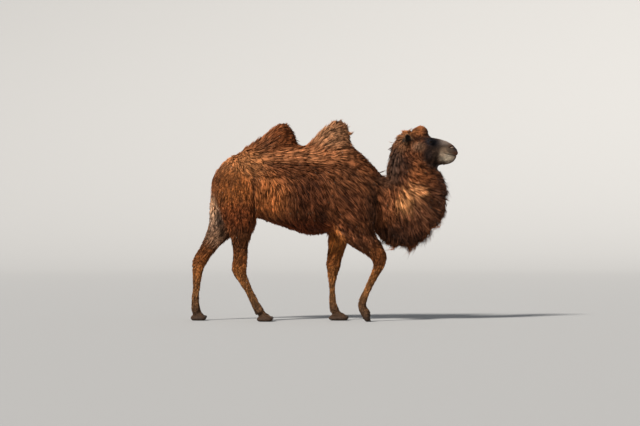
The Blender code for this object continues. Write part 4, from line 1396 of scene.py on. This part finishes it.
def lock_object(name, slot_name, line, outs, width, tint, shade, along, bake_spots, material, rng):
    """A mesh of solid, tapering, three-sided locks, one along each line."""
    count, rings = line.shape[0], line.shape[1] - 1
    per = 3 * rings + 1
    verts = lock_corners(line, outs, width)
    quads, tris = lock_faces(rings)
    starts = (np.arange(count) * per)[:, None]
    loops = (starts + np.concatenate([np.ravel(quads), np.ravel(tris)])[None]).ravel()
    sizes = np.tile([4] * len(quads) + [3] * len(tris), count)
    mesh = bpy.data.meshes.new(name)
    mesh.vertices.add(len(verts))
    mesh.vertices.foreach_set("co", verts.ravel())
    mesh.loops.add(len(loops))
    mesh.loops.foreach_set("vertex_index", loops)
    mesh.polygons.add(len(sizes))
    mesh.polygons.foreach_set("loop_start", np.cumsum(sizes) - sizes)
    mesh.update(calc_edges=True)
    mesh.polygons.foreach_set("use_smooth", np.ones(len(sizes), dtype=bool))
    shares = np.append(np.repeat(np.arange(rings) / rings, 3), 1.0)
    tell_attribute(mesh, "tint", np.repeat(tint, per, axis=0))
    tell_attribute(mesh, "along", np.tile(along[0] + (along[1] - along[0]) * shares, count))
    tell_attribute(mesh, "shade", np.repeat(shade, per))
    patch = np.zeros((per, 2))
    patch[:-1, 0] = np.tile((-0.5, 0.5, 0.0), rings)
    patch[:, 1] = shares - 0.5
    patch[2:-1:3, 1] += 0.04
    bake = bake_spots[:, None, :] + patch[None] * BAKE_PATCH
    strand = np.empty((count, per, 2))
    strand[:, :, 0] = rng.uniform(0, 50, count)[:, None] + patch[None, :, 0] * 3.0
    strand[:, :, 1] = rng.uniform(0, 50, count)[:, None] + shares[None] * 0.8
    for map_name, values in (("OFBake", bake), ("Strand", strand)):
        layer = mesh.uv_layers.new(name=map_name)
        layer.data.foreach_set("uv", values.reshape(-1, 2)[loops].astype(np.float32).ravel())
    mesh.materials.append(material)
    finish_piece(placed(name, mesh), name)


def build_locks(name, slot_name, skin, outline, roots, normals, rings, clump, rng, material):
    """One coat piece: a lock at each root, shaded in streaks along the lie of the coat; the streaks that sink
    locks also darken them, as painted shade between raised streaks.
    """
    way, size = lie_of_coat(roots)
    count = len(roots)
    owner = clump_leaders(roots, rng)
    flow = streaks(skin, roots, normals, size[:, 0] * 0.22)
    line, outs, width = spines(skin, outline, roots, normals, rings, rng, flow, owner)
    strength = np.minimum(clump * (1.0 + 0.5 * size[:, 4]), 0.92)
    line = drawn_together(line, normals, owner, strength, rng)
    vary = np.interp(size[:, 0], VARY_LENGTHS, VARY_SHADES)
    own = rng.normal(0.0, 0.38, count) + rng.normal(0.0, 0.40, count)[owner]
    # Each lock's shade: random tone in streaks, and partly painted shade, since the flow that sinks a streak
    # in spines also darkens it here.
    shade = np.clip(np.exp(vary * (flow + own)), 0.25, 2.1)
    seen = line[:, 0] * 0.4 + line[:, -1] * 0.6
    seen += rng.normal(0.0, 1.0, seen.shape) * (0.003 + 0.05 * size[:, 0:1])
    tint = coat_tint(seen, normals)
    start = 0.0 if rings > 2 else 0.45
    kept = combed(line, way, normals)
    parts = (line[kept], outs[kept], width[kept], tint[kept], shade[kept], (start, 1.0), unwrap(roots)[kept])
    lock_object(name, slot_name, *parts, material, rng)


def combed(line, way, normals):
    """Which of the locks lie as the coat does where they grow and aren't hooked at the end."""
    ahead = unit(line[:, -1] - line[:, 0])
    end = unit(line[:, -1] - line[:, -2])
    free = (ahead * way).sum(axis=1)
    laid = (ahead * unit(flattened(way, normals))).sum(axis=1)
    return (np.maximum(free, laid) > 0.55) & ((ahead * end).sum(axis=1) > 0.5)


def coat_tint(points, normals):
    """The markings, with the dark hollows of the ears and the paler fur on the ears' backs."""
    tint = markings(points)
    on_ear = ear_share(points)[:, None]
    tint = tint * (1 - on_ear) + np.array(EAR_BACK) * on_ear
    hollow = ear_hollow(points, normals)[:, None]
    return tint * (1 - hollow) + np.array(EAR_INSIDE) * hollow


# Lashes along the upper and the lower lid: count, height of the lid, length, lift, upward curl.
LASH_ROWS = ((46, OPEN_ABOVE, 0.026, 0.10, 0.28), (26, -OPEN_BELOW, 0.012, -0.35, -0.20))
LASH_SPREAD = 0.92
LASH_TINT = (0.012, 0.009, 0.008)
LASH_WIDTH = 0.0007


def lashes(material, radius, rng):
    """Long lashes along both upper lids, shorter ones along the lower lids."""
    lines = []
    outs = []
    for side in (1, -1):
        centre, axis, along, up = eye_frame(side)
        for count, lid, length, lift, curl in LASH_ROWS:
            for step in range(count):
                t = -LASH_SPREAD + 2 * LASH_SPREAD * step / (count - 1) + rng.uniform(-0.02, 0.02)
                across = t * OPEN_ALONG * 1.05
                height = LID_LINE + lid * 1.16 * math.sqrt(max(0.0, 1 - t * t))
                ahead = math.sqrt(max(0.05, 1.22 - across * across - height * height))
                root = centre + radius * (along * across + up * height + axis * (ahead - 0.06))
                way = unit((axis * 0.9 + along * t * 0.55 + up * lift + rng.normal(0, 0.08, 3))[None])[0]
                long = length * rng.uniform(0.75, 1.1) * (1 - 0.35 * t * t)
                lines.append([root, root + way * long * 0.55, root + way * long + up * long * curl])
                outs.append([up, up, up])
    line = np.array(lines)
    count = len(line)
    width, shade, tint = np.full(count, LASH_WIDTH), np.ones(count), np.tile(LASH_TINT, (count, 1))
    spots = unwrap(line[:, 0])
    lock_object("lashes", "head", line, np.array(outs), width, tint, shade, (0.8, 1.0), spots, material, rng)


# The areas of the coat.
NECK_X, HAUNCH_X, MIDDLE_X, FACE_X = 0.62, -0.74, -0.26, 1.10
HAUNCH_TOP, FACE_TOP = 1.68, 2.0
SHOE = 0.012  # height of the bare rim round each sole
REAR_SHARE, FRONT_SHARE = 21, 29  # locks of one side of the trunk, in hundredths
SHORT_CLUMP, EAR_CLUMP = 0.5, 0.3


def coat_areas(skin, settings):
    """Each coat piece: its name, slot and area, how many locks it has, their rings and clumping."""
    c = skin.centres
    x, y, z = c.T
    ears = ear_share(c) > 0.5
    legs = leg_share(c) > 0.5
    head = head_side(c) & (x > 0.6) & ~ears
    face = head & (x > FACE_X) & (z < FACE_TOP)
    neck = ~head & ~legs & ~ears & (x > NECK_X)
    trunk = ~head & ~legs & ~neck & ~ears
    haunch = trunk & (x < HAUNCH_X) & (z < HAUNCH_TOP)
    rear = trunk & ~haunch & (x < MIDDLE_X)
    front = trunk & ~haunch & (x >= MIDDLE_X)
    shod = legs & (z > SHOE)
    long, short, trunk_locks = settings.clump, SHORT_CLUMP, settings.trunk_locks
    areas = []
    for word, mine in (("left", y > 0), ("right", y < 0)):
        areas += [
            ("coat_rear_" + word, "trunk", rear & mine, trunk_locks * REAR_SHARE // 100, 3, long),
            ("coat_front_" + word, "trunk", front & mine, trunk_locks * FRONT_SHARE // 100, 3, long),
            ("coat_haunch_" + word, "trunk", haunch & mine, settings.haunch_locks // 2, 2, short),
            ("coat_neck_" + word, "neck", neck & mine, settings.neck_locks // 2, 3, long),
        ]
    areas += [
        ("coat_crown", "head", head & ~face, settings.crown_locks, 3, long),
        ("coat_face", "head", face, settings.face_locks, 2, 0.0),
        ("coat_ears", "ear_right", ears, settings.ear_locks, 2, EAR_CLUMP),
        ("coat_hind_legs", "leg_hind_right", shod & (x < HIND_X), settings.leg_locks, 2, short),
        ("coat_fore_legs", "leg_fore_right", shod & (x >= HIND_X), settings.leg_locks, 2, short),
    ]
    return areas, trunk


def crowding(skin, trunk):
    """How closely locks stand: more where they stand free or are small, fewer under the belly."""
    _, size = lie_of_coat(skin.centres)
    crowd = (1.0 + 1.6 * size[:, 4]) / (np.maximum(size[:, 3], 0.0008) * (size[:, 0] + 0.05))
    underside = (skin.facing[:, 2] < -0.75) & (np.abs(skin.centres[:, 1]) < 0.2)
    return np.where(underside & trunk, crowd * 0.5, crowd)


def clear_places(name, places, normals, rng):
    """Which places on the face and in the ears may bear a lock: none in the eyes, creases and hollows."""
    count = len(places)
    if name == "coat_face":
        nostril, mouth = crease_share(places)
        off_eye = np.linalg.norm(mirrored(places) - np.array(EYE_MIDDLE), axis=1) > 0.031
        return off_eye & (nostril + mouth < 0.15) & (places[:, 0] + rng.uniform(-0.03, 0.03, count) < 1.40)
    if name == "coat_ears":
        return ear_hollow(places, normals) < rng.uniform(0.2, 1.6, count)
    return np.ones(count, dtype=bool)


class CAMEL_OT_coat(bpy.types.Operator):
    """Covers the skin with locks: long on trunk, humps and neck, short on legs and face"""

    bl_idname = "camel.coat"
    bl_label = "Coat"

    def execute(self, context):
        skin = Skin(bpy.data.objects["skin"].data)
        outline = Skin(bpy.data.meshes[OUTLINE])
        wool = coat_material()
        rng = np.random.default_rng(SEED)
        areas, trunk = coat_areas(skin, context.scene.camel_coat)
        crowd = crowding(skin, trunk)
        for name, slot_name, chosen, count, rings, clump in areas:
            if not chosen.any():
                raise RuntimeError("no skin found for " + name)
            places, normals = skin.sample(np.where(chosen, crowd, 0.0), count, rng)
            clear = clear_places(name, places, normals, rng)
            places, normals = places[clear], normals[clear]
            build_locks(name, slot_name, skin, outline, places, normals, rings, clump, rng, wool)
        lashes(wool, context.scene.camel_skin.eye_radius, rng)
        bpy.data.meshes.remove(bpy.data.meshes[OUTLINE])
        return {"FINISHED"}


# The stage --------------------

FLOOR_RADIUS = 30.0
WALL_BEND = 14.0
BEND_STEPS = 12
SKY_COLOUR = (0.88, 0.93, 1.0, 1.0)
SKY_STRENGTH = 0.36
SUN_COLOUR = (1.0, 0.95, 0.88)
SUN_ENERGY = 6.4
SUN_ANGLE = math.radians(9.0)
SUN_WAY = Vector((0.50, 0.66, -0.62))
CAMERA_PLACE = Vector((-0.038, -24.0, 0.9))
CAMERA_TARGET = Vector((-0.038, 0.0, 1.160))
VIEW_WIDTH = 6.875  # seen at the camel's distance
SENSOR_WIDTH = 36.0


def turned(obj, way):
    """Turns a lamp or a camera to look along a way."""
    obj.rotation_euler = way.to_track_quat("-Z", "Y").to_euler()


def turn_up_edge():
    """Extrudes the floor's edge outward and upward, step by step, into a wall."""
    radius, height = FLOOR_RADIUS, 0.0
    for step in range(1, BEND_STEPS + 1):
        angle = math.pi / 2 * step / BEND_STEPS
        wider = FLOOR_RADIUS + WALL_BEND * math.sin(angle)
        higher = WALL_BEND * (1 - math.cos(angle))
        bpy.ops.mesh.extrude_edges_move(TRANSFORM_OT_translate={"value": (0, 0, higher - height)})
        grow = wider / radius
        bpy.ops.transform.resize(value=(grow, grow, 1.0), center_override=(0, 0, higher))
        radius, height = wider, higher


def light_scene(scene):
    world = bpy.data.worlds.new("studio")
    scene.world = world
    world.use_nodes = True
    sky = world.node_tree.nodes["Background"]
    fill(world.node_tree, sky, {"Color": SKY_COLOUR, "Strength": SKY_STRENGTH})
    sun = bpy.data.lights.new("key", "SUN")
    sun.energy, sun.angle, sun.color = SUN_ENERGY, SUN_ANGLE, SUN_COLOUR
    turned(placed("key", sun), SUN_WAY)


def set_camera(scene):
    lens = bpy.data.cameras.new("camera")
    lens.lens = SENSOR_WIDTH * abs(CAMERA_PLACE.y) / VIEW_WIDTH
    lens.clip_end = 1000.0
    camera = placed("camera", lens)
    camera.location = CAMERA_PLACE
    turned(camera, CAMERA_TARGET - CAMERA_PLACE)
    scene.camera = camera
    scene.view_settings.view_transform = "Standard"


class CAMEL_OT_stage(bpy.types.Operator):
    """Lays a pale floor that turns up into a plain wall, soft lights and the camera"""

    bl_idname = "camel.stage"
    bl_label = "Stage"

    def execute(self, context):
        deselect()
        bpy.ops.mesh.primitive_circle_add(
            vertices=128, radius=FLOOR_RADIUS, fill_type="NGON", location=(0, 0, 0)
        )
        floor = bpy.context.active_object
        floor.name = "studio_floor"
        bpy.ops.object.mode_set(mode="EDIT")
        bpy.ops.mesh.select_all(action="SELECT")
        bpy.ops.mesh.select_mode(type="EDGE")
        bpy.ops.mesh.region_to_loop()
        turn_up_edge()
        bpy.ops.object.mode_set(mode="OBJECT")
        bpy.ops.object.shade_smooth()
        made, tree, shader = new_material("studio_floor", 0.9, 0.1)
        fill(tree, shader, {"Base Color": (*context.scene.camel_colours.floor, 1.0)})
        floor.data.materials.append(made)
        light_scene(context.scene)
        set_camera(context.scene)
        return {"FINISHED"}


# The panel --------------------


class CAMEL_PT_panel(bpy.types.Panel):
    """Lists the camel's pieces in the sidebar"""

    bl_label = "Camel"
    bl_idname = "CAMEL_PT_panel"
    bl_space_type = "VIEW_3D"
    bl_region_type = "UI"
    bl_category = "Camel"

    def draw(self, context):
        for operator in OPERATORS:
            self.layout.operator(operator.bl_idname)


OPERATORS = (CAMEL_OT_skin, CAMEL_OT_eyes, CAMEL_OT_nails, CAMEL_OT_coat, CAMEL_OT_stage)
SETTINGS = {
    "camel_skin": CamelSkinSettings,
    "camel_coat": CamelCoatSettings,
    "camel_colours": CamelColourSettings,
}


def register():
    for group in SETTINGS.values():
        bpy.utils.register_class(group)
    for name, group in SETTINGS.items():
        setattr(bpy.types.Scene, name, bpy.props.PointerProperty(type=group))
    for operator in OPERATORS:
        bpy.utils.register_class(operator)
    bpy.utils.register_class(CAMEL_PT_panel)


def unregister():
    bpy.utils.unregister_class(CAMEL_PT_panel)
    for operator in reversed(OPERATORS):
        bpy.utils.unregister_class(operator)
    for name, group in SETTINGS.items():
        delattr(bpy.types.Scene, name)
        bpy.utils.unregister_class(group)


def main():
    register()
    bpy.ops.camel.skin()
    bpy.ops.camel.eyes()
    bpy.ops.camel.nails()
    bpy.ops.camel.coat()
    bpy.ops.camel.stage()


if __name__ == "__main__":
    main()
